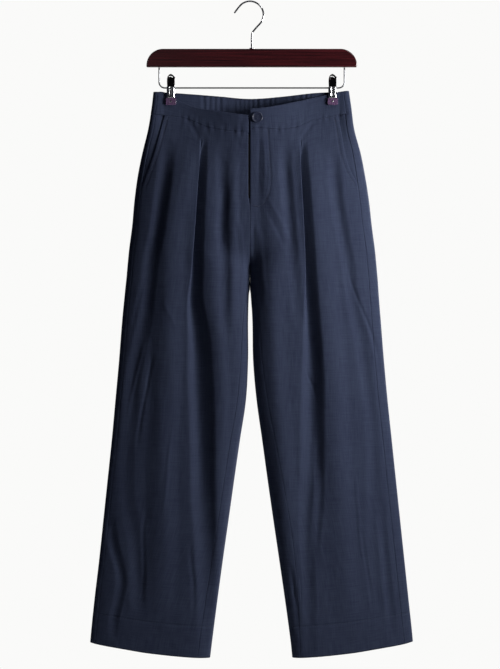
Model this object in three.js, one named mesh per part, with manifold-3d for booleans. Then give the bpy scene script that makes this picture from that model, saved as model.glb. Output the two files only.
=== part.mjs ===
// Suit trousers hanging from a clip hanger.
// Millimetres, +Z up, the front faces -Y. The origin is the inside top of the hook, where a rail carries it.
// "right" and "left" are the wearer's sides, so the right leg lies at -X.

import * as THREE from 'three';
import { mergeVertices } from 'three/addons/utils/BufferGeometryUtils.js';
import Module from 'manifold-3d';

// Driving dimensions of the cloth
const CLOTH = 1.6;
const SEAM_GAP = 0.3;
const CENTRE_SET_BACK = 0.25;
const CENTRE_X = -4;
const WAIST_LEVEL = -215;
const CROTCH_Z = -524;
const RISE_START_Z = -430;
const HEM_LEVEL = -1244;
const HEM_TURN_UP = 60;
const ROUNDNESS = 0.87;
const INSEAM_ROUNDNESS = 0.62;
const INSEAM_ROUND_SHARE = 0.4;
const LEG_ROUND_DROP = 90;
const WAIST_FOLLOW_END_Z = -490;
const HEM_FOLLOW_START_Z = -860;

// Driving dimensions of the waist, pinched flat at the two clips
const WAIST_MIDDLE_X = -0.5;
const PINCH_INNER = 141;
const PINCH_OUTER = 167;
const PINCH_HALF_GAP = 2.2;
const PINCH_TOP_Z = -200;
const PINCH_END_Z = -330;
const FRONT_BULGE = 22;
const BACK_BULGE = 14;
const SIDE_BULGE = 3;
const SIDE_RAMP = 20;
const SIDE_ROUNDING = 8;
const BAND_MIDDLE_Z = -195;
const BAND_HEIGHT = 40;
const BAND_END = 1 - SEAM_GAP / (2 * BAND_HEIGHT);
const GATHER_PITCH = 10.5;
const GATHER_REACH = 128;
const GATHER_HEIGHT = 1.5;
const GATHER_FADE = 30;
const GATHER_STEPS = 4;

// Driving dimensions of the fly and the pockets
const FLY_END_Z = -390;
const FLY_CLOSING = 60;
const FLY_OPENING = 5.2;
const LAP_EDGE = 0.6;
const ZIP = { halfWidth: 11, top: -254, bottom: -376, depth: 1.8, thickness: 1.2, columns: 4, rows: 6 };
const SHIELD = { halfWidth: 27, top: -222, bottom: -384, depth: 3.6, thickness: 1.6, columns: 8, rows: 8 };
const FACING_OVERLAP = 13;
const FACING_DEPTH = 2.2;
const POCKET_END_Z = -360;

// Driving dimensions of the button
const BUTTON_X = 9.5;
const BUTTON_Z = -221;
const BUTTON_RADIUS = 10.5;
const BUTTON_THICKNESS = 3;
const BUTTON_HOLE_RADIUS = 1.1;
const BUTTON_HOLE_SPREAD = 2;
const BUTTON_SEAT = 0.4;

// Driving dimensions of the hanger
const BAR_MIDDLE_X = -0.5;
const BAR_LENGTH = 400;
const BAR_TOP_Z = -89;
const BAR_HEIGHT = 35;
const BAR_THICKNESS = 12;
const BAR_CORNER = 30;
const BAR_BEVEL = 1.5;
const HOOK_WIRE = 3.4;
const HOOK_RADIUS = 25.5;
const HOOK_X = -3.8;
const LOOP_WIRE = 2.8;
const LOOP_HALF_SPAN = 176;
const LOOP_Z = -163;
const LOOP_CORNER = 11;
const CLIP_SPREAD = 153.5;
const CLIP_WIDTH = 15;
const CLIP_TOP_Z = -141;
const JAW_END_Z = -182;
const JAW_THICKNESS = 1.5;
const JAW_OUTER_Y = 7.8;
const PAD_WIDTH = 20;
const PAD_HEIGHT = 13.6;
const PAD_THICKNESS = 4.2;
const PAD_INNER_Y = 3.35;
const WIRE_CLEARANCE = 0.4;

const FINISH = {
  linen: { color: 0x1b2036, roughness: 0.9, metalness: 0 },
  zip: { color: 0x10131f, roughness: 0.6, metalness: 0.1 },
  button: { color: 0x181c30, roughness: 0.4, metalness: 0 },
  wood: { color: 0x3a1c16, roughness: 0.3, metalness: 0 },
  chrome: { color: 0xc9cdd2, roughness: 0.15, metalness: 1 },
  pad: { color: 0x9a4f8f, roughness: 0.4, metalness: 0 },
};

// Turns rows of numbers into rows with named columns
function named(columns, rows) {
  return rows.map((row) => Object.fromEntries(columns.map((name, i) => [name, row[i]])));
}

// The silhouette and the depth of the legs at each height
const SECTIONS = named(['z', 'rightOuter', 'leftOuter', 'rightInner', 'leftInner', 'front', 'back'], [
  [-165, -187, 184, -4, -4, 24, 18],
  [-200, -191, 189, -4, -4, 25, 20],
  [-243, -198, 195, -4, -4, 27, 23],
  [-288, -209, 207, -4, -4, 29, 26],
  [-334, -218, 216, -4, -4, 31, 28],
  [-380, -224, 223, -4, -4, 32, 30],
  [-425, -228, 228, -4, -4, 33, 32],
  [-471, -234, 234, -4, -4, 35, 34],
  [-524, -239, 239, -4.6, -3.4, 38, 38],
  [-552, -242, 241, -6.4, -2.2, 39, 39],
  [-604, -247, 245, -7.4, 0.6, 38, 39],
  [-680, -253, 251, -7.4, 2, 36, 37],
  [-756, -260, 258, -11.4, 8.6, 34, 35],
  [-832, -267, 266, -22.8, 19.2, 32, 33],
  [-908, -275, 274, -33.8, 29.6, 31, 32],
  [-984, -283, 282, -44.5, 40.5, 30, 31],
  [-1060, -291, 290, -55.3, 51.7, 29, 30],
  [-1136, -300, 298, -65.6, 62.7, 28, 29],
  [-1212, -307.6, 306, -75.4, 73, 27, 28],
  [-1250, -310, 308, -80, 77, 27, 28],
]);

// How far each seam lies in from the edge of the leg, on its front
const SEAMS = named(['z', 'rightSide', 'leftSide', 'rightInseam', 'leftInseam'], [
  [-165, 8, 9, 0, 0],
  [-215, 9, 12, 0, 0],
  [-360, 10, 17, 0, 0],
  [-524, 10, 17, 0, 0],
  [-600, 10, 17, 9, 11],
  [-756, 10, 17, 16, 20],
  [-1022, 10, 17, 20, 30],
  [-1250, 10, 17, 24, 14],
]);

// Height of the waist seam and of the waistband's top edge across the front, from the right side to the left
const FRONT_WAIST = named(['x', 'seam', 'top'], [
  [-200, -213, -170],
  [-182, -214, -171],
  [-166, -215, -172],
  [-142, -218, -186],
  [-123, -222, -195],
  [-102, -231, -202],
  [-82, -239, -206],
  [-51, -245, -211],
  [-8, -249, -217],
]);
const FRONT_WAIST_LEFT = named(['x', 'seam', 'top'], [
  [-8, -241, -205],
  [20, -241, -203],
  [53, -243, -197],
  [80, -239, -191],
  [98, -232, -187],
  [114, -225, -183],
  [132, -221, -179],
  [150, -218, -174],
  [166, -214, -171],
  [182, -212, -169],
  [200, -210, -168],
]);
const BACK_WAIST = named(['x', 'seam', 'top'], [
  [-200, -213, -170],
  [-182, -214, -171],
  [-166, -215, -172],
  [-120, -218, -175],
  [-60, -222, -179],
  [-4, -225, -183],
  [60, -221, -179],
  [120, -217, -173],
  [166, -214, -171],
  [182, -212, -169],
  [200, -210, -168],
]);

// The hem dips towards the inside of each leg
const HEM_LINE = named(['reach', 'z'], [
  [60, -1244.5],
  [110, -1242.5],
  [190, -1235],
  [242, -1227],
  [290, -1219],
  [312, -1213.5],
]);

// The front edge of each slant pocket
const POCKETS = {
  right: named(['z', 'x'], [[-205, -164], [-243, -174], [-288, -186], [-343, -206], [-372, -220]]),
  left: named(['z', 'x'], [[-205, 161], [-233, 167], [-288, 176], [-326, 189], [-372, 218]]),
};

// One pleat in each front: where its upper layer ends, how deep it is, how far it laps and its half width
const PLEATS = {
  right: named(['z', 'edge', 'depth', 'lap', 'half'], [
    [-205, -98, 0, 0, 8],
    [-262, -98, 0.4, 0, 8],
    [-285, -98, 4, 5, 8],
    [-330, -101, 8, 11, 9],
    [-420, -107, 9.5, 13, 10],
    [-515, -115, 10, 9, 13],
    [-566, -122, 11, 7, 17],
    [-642, -122, 12, 5, 24],
    [-718, -122, 12, 4, 27],
    [-794, -119, 12, 4, 27],
    [-870, -117, 11, 3, 26],
    [-946, -116, 9, 2, 26],
    [-1022, -110, 7, 1, 24],
    [-1098, -106, 5, 0, 22],
    [-1174, -103, 2, 0, 20],
    [-1250, -103, 0.5, 0, 20],
  ]),
  left: named(['z', 'edge', 'depth', 'lap', 'half'], [
    [-205, 90, 0, 0, 8],
    [-262, 90, 0.4, 0, 8],
    [-285, 91, 4, 5, 8],
    [-330, 93, 8, 11, 9],
    [-420, 98, 9.5, 13, 10],
    [-515, 101, 10, 11, 12],
    [-566, 99, 10, 8, 15],
    [-642, 96, 11, 5, 20],
    [-718, 93, 11, 3, 24],
    [-794, 91, 10, 2, 25],
    [-870, 90, 8, 1, 24],
    [-946, 86, 6, 0, 20],
    [-1022, 88, 4, 0, 17],
    [-1136, 95, 2.5, 0, 15],
    [-1250, 95, 0.5, 0, 15],
  ]),
};

// The long soft folds: each path goes down the cloth, with the height of a ridge or the depth of a trough
const FOLD_COLUMNS = ['z', 'x', 'rise'];
const FRONT_FOLDS = {
  right: [
    { half: 18, path: named(FOLD_COLUMNS, [[-262, -165, 0], [-319, -170, -4], [-376, -177, -5],
      [-433, -184, -5], [-490, -198, -4], [-566, -205, -4], [-642, -215, -4], [-718, -226, -4],
      [-794, -232, -3], [-870, -238, -3], [-946, -236, -2], [-1022, -222, -3], [-1098, -216, -4],
      [-1180, -214, 0]]) },
    { half: 34, path: named(FOLD_COLUMNS, [[-262, -128, 0], [-341, -137, 4], [-433, -152, 5],
      [-566, -160, 6], [-718, -163, 6], [-870, -170, 6], [-1022, -168, 5], [-1120, -172, 3],
      [-1200, -172, 0]]) },
    { half: 14, path: named(FOLD_COLUMNS, [[-285, -60, 0], [-319, -62, -4], [-376, -59, -5],
      [-433, -62, -5], [-490, -57, -4], [-566, -55, -3], [-640, -54, 0]]) },
    { half: 13, path: named(FOLD_COLUMNS, [[-285, -38, 0], [-340, -38, 3], [-433, -38, 4], [-490, -36, 3],
      [-566, -38, 2], [-620, -38, 0]]) },
    { half: 20, path: named(FOLD_COLUMNS, [[-300, -84, 0], [-376, -84, 2], [-490, -80, 3], [-566, -76, 3],
      [-642, -64, 3], [-718, -60, 3], [-870, -60, 3], [-1022, -58, 3], [-1180, -66, 0]]) },
    { half: 13, path: named(FOLD_COLUMNS, [[-960, -270, 0], [-1022, -264, -4], [-1098, -248, -4],
      [-1174, -262, -3], [-1215, -262, 0]]) },
  ],
  left: [
    { half: 15, path: named(FOLD_COLUMNS, [[-262, 62, 0], [-319, 63, -4], [-376, 67, -4], [-433, 72, -4],
      [-490, 77, -3], [-566, 84, -2], [-620, 86, 0]]) },
    { half: 30, path: named(FOLD_COLUMNS, [[-262, 38, 0], [-341, 38, 4], [-433, 42, 4], [-566, 38, 4],
      [-718, 44, 4], [-870, 56, 4], [-984, 64, 4], [-1136, 74, 2], [-1210, 78, 0]]) },
    { half: 34, path: named(FOLD_COLUMNS, [[-262, 108, 0], [-319, 114, 4], [-376, 118, 5], [-490, 131, 6],
      [-566, 138, 6], [-718, 152, 6], [-870, 160, 6], [-946, 166, 5], [-1022, 168, 4], [-1136, 178, 3],
      [-1210, 182, 0]]) },
    { half: 16, path: named(FOLD_COLUMNS, [[-280, 154, 0], [-319, 156, -4], [-376, 160, -5],
      [-433, 170, -5], [-490, 180, -5], [-566, 190, -4], [-642, 206, -4], [-718, 216, -4], [-794, 226, -3],
      [-946, 231, -3], [-1022, 229, -2], [-1136, 238, -2], [-1200, 244, 0]]) },
    { half: 12, path: named(FOLD_COLUMNS, [[-800, 130, 0], [-870, 128, -3], [-946, 126, -4],
      [-1022, 120, -2], [-1098, 116, 0]]) },
    { half: 12, path: named(FOLD_COLUMNS, [[-900, 244, 0], [-984, 246, -3], [-1080, 254, -4],
      [-1160, 262, -3], [-1215, 266, 0]]) },
  ],
};
const BACK_FOLDS = {
  right: [
    { half: 27, path: named(FOLD_COLUMNS, [[-235, -70, 0], [-330, -74, -4], [-520, -84, -6], [-760, -92, -6],
      [-1000, -110, -5], [-1200, -122, 0]]) },
    { half: 27, path: named(FOLD_COLUMNS, [[-235, -118, 0], [-360, -126, 5], [-600, -140, 5], [-860, -150, 6],
      [-1080, -172, 4], [-1205, -180, 0]]) },
    { half: 25, path: named(FOLD_COLUMNS, [[-260, -158, 0], [-400, -172, -5], [-640, -196, -5], [-880, -208, -6],
      [-1100, -226, -4], [-1205, -232, 0]]) },
    { half: 22, path: named(FOLD_COLUMNS, [[-590, -44, 0], [-640, -44, -4], [-800, -60, -4], [-940, -78, 0]]) },
  ],
  left: [
    { half: 27, path: named(FOLD_COLUMNS, [[-235, 62, 0], [-350, 66, -5], [-540, 80, -6], [-740, 88, -5],
      [-980, 112, -6], [-1200, 126, 0]]) },
    { half: 28, path: named(FOLD_COLUMNS, [[-240, 104, 0], [-380, 118, 5], [-620, 136, 6], [-880, 156, 5],
      [-1100, 176, 4], [-1205, 184, 0]]) },
    { half: 25, path: named(FOLD_COLUMNS, [[-255, 150, 0], [-420, 170, -5], [-600, 190, -6], [-900, 212, -5],
      [-1090, 232, -4], [-1205, 238, 0]]) },
    { half: 22, path: named(FOLD_COLUMNS, [[-600, 40, 0], [-660, 40, -4], [-820, 58, -3], [-960, 80, 0]]) },
  ],
};

// The heights at which the leg panels have a row of points, from the waist seam to the hem
const HEM_FOLD_LEVEL = HEM_LEVEL + HEM_TURN_UP;
const LEVELS = [
  WAIST_LEVEL, -230, -248, -266, -284, -308, -336, -362, -390, -420, -450, -478, -502, -524, -546, -582, -640,
  -720, -810, -900, -990, -1080, -1150, HEM_FOLD_LEVEL, HEM_FOLD_LEVEL - 3, -1215, HEM_LEVEL,
];
const PLEAT_STEPS = [-1, -0.78, -0.42, 0, 0.4, 0.75, 1];
const PLEAT_MIDDLE_SHARE = 0.93;
const COLUMNS_TO_PLEAT = 6;
const COLUMNS_FROM_PLEAT = 9;
const BACK_COLUMNS = 19;

const LEGS = {
  right: { side: 'right', sign: -1 },
  left: { side: 'left', sign: 1 },
};

function clamp(value, low, high) {
  return Math.min(high, Math.max(low, value));
}

function mix(a, b, share) {
  return a + (b - a) * share;
}

// Goes from 0 at "start" to 1 at "end" with soft ends
function ease(start, end, value) {
  const share = clamp((value - start) / (end - start), 0, 1);
  return share * share * (3 - 2 * share);
}

// A soft bump of height 1 at 0 that ends at -1 and 1
function bump(q) {
  const room = 1 - q * q;
  return room > 0 ? room * room : 0;
}

// Reads one column of a table along a smooth curve through its rows
function read(table, key, column, at) {
  const last = table.length - 1;
  const rising = table[last][key] > table[0][key] ? 1 : -1;
  if ((at - table[0][key]) * rising <= 0) {
    return table[0][column];
  }
  if ((at - table[last][key]) * rising >= 0) {
    return table[last][column];
  }
  const i = table.findIndex((row, k) => k > 0 && (at - row[key]) * rising <= 0) - 1;
  const slope = (a, b) => (table[b][column] - table[a][column]) / (table[b][key] - table[a][key]);
  const step = table[i + 1][key] - table[i][key];
  const startSlope = slope(Math.max(i - 1, 0), i + 1);
  const endSlope = slope(i, Math.min(i + 2, last));
  const t = (at - table[i][key]) / step;
  const startPart = (1 + 2 * t) * (1 - t) * (1 - t) * table[i][column] + t * (1 - t) * (1 - t) * step * startSlope;
  const endPart = t * t * (3 - 2 * t) * table[i + 1][column] + t * t * (t - 1) * step * endSlope;
  return startPart + endPart;
}

// How far the section of one leg has closed on itself: 0 above the rise, 1 from the crotch down
function closing(z) {
  return ease(RISE_START_Z, CROTCH_Z, z);
}

function innerX(leg, z) {
  const edge = read(SECTIONS, 'z', `${leg.side}Inner`, z);
  return edge + leg.sign * (CENTRE_SET_BACK + (CLOTH / 2) * closing(z));
}

function outerX(leg, z) {
  return read(SECTIONS, 'z', `${leg.side}Outer`, z) - (leg.sign * CLOTH) / 2;
}

// Share of the way from the inner edge to the outer edge, for a place s along half of the section
function across(s, closed) {
  const open = Math.sin((Math.PI * s) / 2) ** ROUNDNESS;
  const c = -Math.cos(Math.PI * s);
  const shut = 0.5 + 0.5 * Math.sign(c) * Math.abs(c) ** ROUNDNESS;
  return mix(open, shut, closed);
}

// Share of the full depth at a place s along half of the section
function depthShare(s, closed, z) {
  const outerRound = Math.max(0, Math.cos((Math.PI * s) / 2)) ** ROUNDNESS;
  const power = mix(1, INSEAM_ROUNDNESS, ease(CROTCH_Z, CROTCH_Z - LEG_ROUND_DROP, z));
  const innerRound = Math.sin((Math.PI / 2) * Math.min(1, s / INSEAM_ROUND_SHARE)) ** power;
  return outerRound * mix(1, innerRound, closed);
}

// Finds the place s whose point has the given x
function placeOf(leg, x, z) {
  const closed = closing(z);
  const wanted = (x - innerX(leg, z)) / (outerX(leg, z) - innerX(leg, z));
  let low = 0;
  let high = 1;
  for (let i = 0; i < 40; i += 1) {
    const middle = (low + high) / 2;
    if (across(middle, closed) < wanted) {
      low = middle;
    } else {
      high = middle;
    }
  }
  return (low + high) / 2;
}

// Height of the waist seam or of the waistband's top edge
function waistHeight(leg, onFront, column, x) {
  if (!onFront) {
    return read(BACK_WAIST, 'x', column, x);
  }
  return read(leg.sign < 0 ? FRONT_WAIST : FRONT_WAIST_LEFT, 'x', column, x);
}

// The real height of a row at x: rows follow the waist seam at the top and the hem at the bottom
function heightAt(leg, onFront, level, x) {
  const seamDrop = waistHeight(leg, onFront, 'seam', x) - WAIST_LEVEL;
  const hemDrop = read(HEM_LINE, 'reach', 'z', Math.abs(x - CENTRE_X)) - HEM_LEVEL;
  const nearWaist = 1 - ease(WAIST_LEVEL, WAIST_FOLLOW_END_Z, level);
  const nearHem = ease(HEM_FOLLOW_START_Z, HEM_LEVEL, level);
  return level + seamDrop * nearWaist + hemDrop * nearHem;
}

// Depth of the waist from its middle plane: flat at the clips, bulging between them
function waistDepth(x, outer, bulge) {
  const reach = Math.abs(x - WAIST_MIDDLE_X);
  const between = reach < PINCH_INNER ? 0.5 + 0.5 * Math.cos((Math.PI * reach) / PINCH_INNER) : 0;
  const beyond = Math.sin(clamp((reach - PINCH_OUTER) / SIDE_RAMP, 0, 1) * (Math.PI / 2));
  const toEdge = clamp(Math.abs(outer - x) / SIDE_ROUNDING, 0, 1);
  const edge = Math.sqrt(1 - (1 - toEdge) * (1 - toEdge));
  return (PINCH_HALF_GAP + bulge * between + SIDE_BULGE * beyond) * edge;
}

function foldRise(folds, x, z) {
  return folds.reduce((sum, fold) => {
    const middle = read(fold.path, 'z', 'x', z);
    const rise = read(fold.path, 'z', 'rise', z);
    const isOnFold = z < fold.path[0].z && z > fold.path[fold.path.length - 1].z;
    return isOnFold ? sum + rise * bump((x - middle) / fold.half) : sum;
  }, 0);
}

// The middle of the cloth at a place s and a height z, before and after its pleat is laid
function clothAt(leg, onFront, s, z) {
  const closed = closing(z);
  const inner = innerX(leg, z);
  const outer = outerX(leg, z);
  const x = mix(inner, outer, across(s, closed));
  const share = depthShare(s, closed, z);
  const legDepth = share * read(SECTIONS, 'z', onFront ? 'front' : 'back', z);
  const pinched = 1 - ease(PINCH_TOP_Z, PINCH_END_Z, z);
  const depth = mix(legDepth, waistDepth(x, outer, onFront ? FRONT_BULGE : BACK_BULGE), pinched);
  const rise = foldRise((onFront ? FRONT_FOLDS : BACK_FOLDS)[leg.side], x, z) * Math.sqrt(share);
  if (!onFront) {
    return new THREE.Vector3(x, depth + rise, z);
  }
  const pleat = pleatAt(leg, z);
  const laid = bump((x - pleat.middle) / pleat.half);
  return new THREE.Vector3(x - pleat.lap * laid, -(depth + rise) + pleat.depth * laid, z);
}

function pleatAt(leg, z) {
  const table = PLEATS[leg.side];
  const half = read(table, 'z', 'half', z);
  return {
    half,
    middle: read(table, 'z', 'edge', z) + PLEAT_MIDDLE_SHARE * half,
    depth: read(table, 'z', 'depth', z),
    lap: read(table, 'z', 'lap', z),
  };
}

// A point of one leg. "turn" goes round it: 0 at the inner edge, 1 at the outer edge, 2 back at the inner edge.
function legPoint(leg, turn, level) {
  const around = turn > 2 ? turn - 2 : Math.abs(turn);
  const onFront = around <= 1;
  const s = onFront ? around : 2 - around;
  let z = level;
  for (let pass = 0; pass < 4; pass += 1) {
    const x = mix(innerX(leg, z), outerX(leg, z), across(s, closing(z)));
    z = heightAt(leg, onFront, level, x);
  }
  return clothAt(leg, onFront, s, z);
}

// A point of the waistband. "share" is 0 at its top edge and 1 at the waist seam.
function bandPoint(leg, turn, share) {
  const onFront = turn <= 1;
  const s = onFront ? turn : 2 - turn;
  let z = WAIST_LEVEL;
  for (let pass = 0; pass < 4; pass += 1) {
    const x = mix(innerX(leg, z), outerX(leg, z), across(s, 0));
    z = mix(waistHeight(leg, onFront, 'top', x), waistHeight(leg, onFront, 'seam', x), share);
  }
  const point = clothAt(leg, onFront, s, z);
  const reach = Math.abs(point.x - WAIST_MIDDLE_X);
  if (!onFront) {
    const strength = 1 - ease(GATHER_REACH - GATHER_FADE, GATHER_REACH, reach);
    point.y += GATHER_HEIGHT * strength * Math.sin((2 * Math.PI * point.x) / GATHER_PITCH);
  }
  return point;
}

// Moves a place along the section until it is half a seam gap away
function setBack(pointAt, turn, direction) {
  const start = pointAt(turn);
  let low = 0;
  let high = 0.2;
  for (let i = 0; i < 30; i += 1) {
    const middle = (low + high) / 2;
    if (pointAt(turn + direction * middle).distanceTo(start) < SEAM_GAP / 2) {
      low = middle;
    } else {
      high = middle;
    }
  }
  return turn + direction * high;
}

// Evenly spaced values from start to end, both included
function spread(start, end, count) {
  return Array.from({ length: count }, (_, i) => mix(start, end, i / (count - 1)));
}

function sideSeamTurn(leg, z) {
  const inset = read(SEAMS, 'z', `${leg.side}Side`, z);
  return placeOf(leg, outerX(leg, z) - leg.sign * inset, z);
}

function inseamTurn(leg, z) {
  const inset = read(SEAMS, 'z', `${leg.side}Inseam`, z);
  return inset < 0.05 ? 0 : placeOf(leg, innerX(leg, z) + leg.sign * inset, z);
}

// The front's centre edge stands back along the fly, so that the opening shows
function flyTurn(leg, z) {
  const opening = leg.sign < 0 ? FLY_OPENING : LAP_EDGE;
  const width = opening * (1 - ease(FLY_END_Z + FLY_CLOSING, FLY_END_Z, z));
  return width < 0.05 ? 0 : placeOf(leg, innerX(leg, z) + leg.sign * width, z);
}

// The pocket mouth meets the side seam at its lower end
function pocketTurn(leg, z) {
  const mouth = placeOf(leg, read(POCKETS[leg.side], 'z', 'x', z), z);
  const seam = sideSeamTurn(leg, z);
  return z < POCKET_END_Z ? seam : Math.min(mouth, seam);
}

// The places of a front panel's columns, from its centre edge to its outer edge
function frontTurns(leg, level, zOf, pointAt) {
  const innerZ = zOf(innerX(leg, level));
  const outerZ = zOf(outerX(leg, level));
  const centre = innerZ > CROTCH_Z ? flyTurn(leg, innerZ) : inseamTurn(leg, innerZ);
  const edge = pocketTurn(leg, outerZ);
  const start = setBack(pointAt, centre, 1);
  const end = setBack(pointAt, edge, -1);
  const pleatZ = zOf(pleatAt(leg, level).middle);
  const pleat = pleatAt(leg, pleatZ);
  const folds = PLEAT_STEPS.map((q) => placeOf(leg, pleat.middle + leg.sign * q * pleat.half, pleatZ));
  const before = spread(start, folds[0], COLUMNS_TO_PLEAT + 1).slice(0, -1);
  const after = spread(folds[folds.length - 1], end, COLUMNS_FROM_PLEAT + 1).slice(1);
  return [...before, ...folds, ...after];
}

// The places of a back panel's columns, from the side seam round the outer edge to the inseam
function backTurns(leg, level) {
  const pointAt = (turn) => legPoint(leg, turn, level);
  const innerZ = heightAt(leg, true, level, innerX(leg, level));
  const outerZ = heightAt(leg, true, level, outerX(leg, level));
  const start = setBack(pointAt, sideSeamTurn(leg, outerZ), 1);
  const end = setBack(pointAt, 2 + (innerZ > CROTCH_Z ? 0 : inseamTurn(leg, innerZ)), -1);
  return spread(start, end, BACK_COLUMNS);
}

// The direction out of the cloth at one of its points
function outward(leg, pointAt, turn, row, rowLimits) {
  const turnStep = 0.008;
  const turnLimits = [0, row > CROTCH_Z ? 2 : 3];
  const rowStep = (rowLimits[1] - rowLimits[0]) * 0.004;
  const alongTurn = pointAt(Math.min(turn + turnStep, turnLimits[1]), row)
    .sub(pointAt(Math.max(turn - turnStep, turnLimits[0]), row));
  const alongRow = pointAt(turn, Math.min(row + rowStep, rowLimits[1]))
    .sub(pointAt(turn, Math.max(row - rowStep, rowLimits[0])));
  const normal = alongTurn.cross(alongRow).normalize();
  return normal.multiplyScalar(leg.sign);
}

// Closes a grid of points into a wall. Each cell gives its outer and its inner point.
function wallGeometry(grid) {
  const rows = grid.length;
  const columns = grid[0].length;
  const positions = grid.flat().flatMap((cell) => [...cell.outer.toArray(), ...cell.inner.toArray()]);
  const outer = (i, j) => 2 * (i * columns + j);
  const inner = (i, j) => outer(i, j) + 1;
  const faces = [];
  const quad = (a, b, c, d) => faces.push(a, b, c, a, c, d);
  for (let i = 0; i + 1 < rows; i += 1) {
    for (let j = 0; j + 1 < columns; j += 1) {
      quad(outer(i, j), outer(i, j + 1), outer(i + 1, j + 1), outer(i + 1, j));
      quad(inner(i, j), inner(i + 1, j), inner(i + 1, j + 1), inner(i, j + 1));
    }
    quad(outer(i, 0), outer(i + 1, 0), inner(i + 1, 0), inner(i, 0));
    quad(outer(i, columns - 1), inner(i, columns - 1), inner(i + 1, columns - 1), outer(i + 1, columns - 1));
  }
  for (let j = 0; j + 1 < columns; j += 1) {
    quad(outer(0, j), inner(0, j), inner(0, j + 1), outer(0, j + 1));
    quad(outer(rows - 1, j), outer(rows - 1, j + 1), inner(rows - 1, j + 1), inner(rows - 1, j));
  }
  const geometry = new THREE.BufferGeometry();
  geometry.setAttribute('position', new THREE.Float32BufferAttribute(positions, 3));
  geometry.setIndex(faces);
  return facingOut(geometry);
}

// Six times the volume inside a closed surface, negative where its faces point in
function signedVolume(geometry) {
  const place = geometry.getAttribute('position');
  const index = geometry.getIndex();
  const corner = (i) => new THREE.Vector3().fromBufferAttribute(place, index.getX(i));
  let total = 0;
  for (let i = 0; i < index.count; i += 3) {
    total += corner(i).dot(corner(i + 1).cross(corner(i + 2)));
  }
  return total;
}

function facingOut(geometry) {
  if (signedVolume(geometry) < 0) {
    geometry.setIndex([...geometry.getIndex().array].reverse());
  }
  geometry.computeVertexNormals();
  return geometry;
}

// The outer and the inner point of a wall at one place, "sunk" inwards, with any extra thickness inside
function cell(point, normal, thickness, sunk, inside = 0) {
  return {
    outer: point.clone().addScaledVector(normal, thickness / 2 - sunk),
    inner: point.clone().addScaledVector(normal, -thickness / 2 - sunk - inside),
  };
}

// A wall of cloth through rows of places. Rows are levels, which rise, or shares, which fall down the waistband.
function clothWall(leg, pointAt, rows, turnsOf, { sunk = 0, hem = () => 0, rowsRise = true } = {}) {
  const rowLimits = [Math.min(...rows), Math.max(...rows)];
  const flip = rowsRise ? 1 : -1;
  return wallGeometry(rows.map((row) => turnsOf(row).map((turn) => {
    const normal = outward(leg, pointAt, turn, row, rowLimits).multiplyScalar(flip);
    return cell(pointAt(turn, row), normal, CLOTH, sunk, hem(row));
  })));
}

// The hem is turned up inside, so the cloth is double below the fold line
function hemThickness(level) {
  return level < HEM_FOLD_LEVEL - 1 ? CLOTH : 0;
}

const TOP_SET_BACK = [LEVELS[0] - SEAM_GAP / 2, ...LEVELS.slice(1)];

function frontLeg(leg) {
  const turnsOf = (level) => frontTurns(
    leg,
    level,
    (x) => heightAt(leg, true, level, x),
    (turn) => legPoint(leg, turn, level),
  );
  const pointAt = (turn, level) => legPoint(leg, turn, level);
  return clothWall(leg, pointAt, TOP_SET_BACK, turnsOf, { hem: hemThickness });
}

function backLeg(leg) {
  const turnsOf = (level) => backTurns(leg, level);
  const pointAt = (turn, level) => legPoint(leg, turn, level);
  return clothWall(leg, pointAt, TOP_SET_BACK, turnsOf, { hem: hemThickness });
}

// The front waistband, plain, from the fly to the side seam
function frontBand(leg) {
  const pointAt = (turn, share) => bandPoint(leg, turn, share);
  const columns = frontTurns(
    leg,
    WAIST_LEVEL,
    (x) => waistHeight(leg, true, 'seam', x),
    (turn) => bandPoint(leg, turn, 1),
  );
  const last = columns[columns.length - 1];
  const sideSeam = setBack((turn) => bandPoint(leg, turn, 0.5), sideSeamTurn(leg, BAND_MIDDLE_Z), -1);
  const turns = [...columns, mix(last, sideSeam, 0.5), sideSeam];
  return clothWall(leg, pointAt, [0, 0.5, BAND_END], () => turns, { rowsRise: false });
}

// The places of the back waistband's columns on one side: round the side, then close together for the gathers
function gatheredTurns(leg) {
  const z = BAND_MIDDLE_Z;
  const start = setBack((turn) => bandPoint(leg, turn, 0.5), sideSeamTurn(leg, z), 1);
  const gathersStart = 2 - placeOf(leg, WAIST_MIDDLE_X + leg.sign * GATHER_REACH, z);
  const gathers = Math.round(GATHER_REACH / GATHER_PITCH) * GATHER_STEPS;
  const places = spread(WAIST_MIDDLE_X + leg.sign * GATHER_REACH, CENTRE_X, gathers + 1);
  const gathered = places.slice(1, -1).map((x) => 2 - placeOf(leg, x, z));
  return [...spread(start, gathersStart, 8), ...gathered];
}

// The back waistband, in one piece from side seam to side seam
function backBand() {
  const cellsOf = (leg, share) => gatheredTurns(leg).map((turn) => {
    const pointAt = (place, row) => bandPoint(leg, place, row);
    const normal = outward(leg, pointAt, turn, share, [0, 1]).negate();
    return cell(bandPoint(leg, turn, share), normal, CLOTH, 0);
  });
  const rows = [0, 0.5, BAND_END];
  return wallGeometry(rows.map((share) => [
    ...cellsOf(LEGS.right, share),
    ...cellsOf(LEGS.left, share).reverse(),
  ]));
}

// The part of the pocket that shows between its mouth and the side seam
function pocketFacing(leg) {
  const pointAt = (turn, level) => legPoint(leg, turn, level);
  const rows = TOP_SET_BACK.filter((level) => level >= POCKET_END_Z - 5);
  const turnsOf = (level) => {
    const z = heightAt(leg, true, level, outerX(leg, level));
    const mouthX = read(POCKETS[leg.side], 'z', 'x', z);
    const start = placeOf(leg, mouthX - leg.sign * FACING_OVERLAP, z);
    const end = setBack((turn) => legPoint(leg, turn, level), sideSeamTurn(leg, z), -1);
    return spread(start, end, 6);
  };
  return clothWall(leg, pointAt, rows, turnsOf, { sunk: FACING_DEPTH });
}

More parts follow.
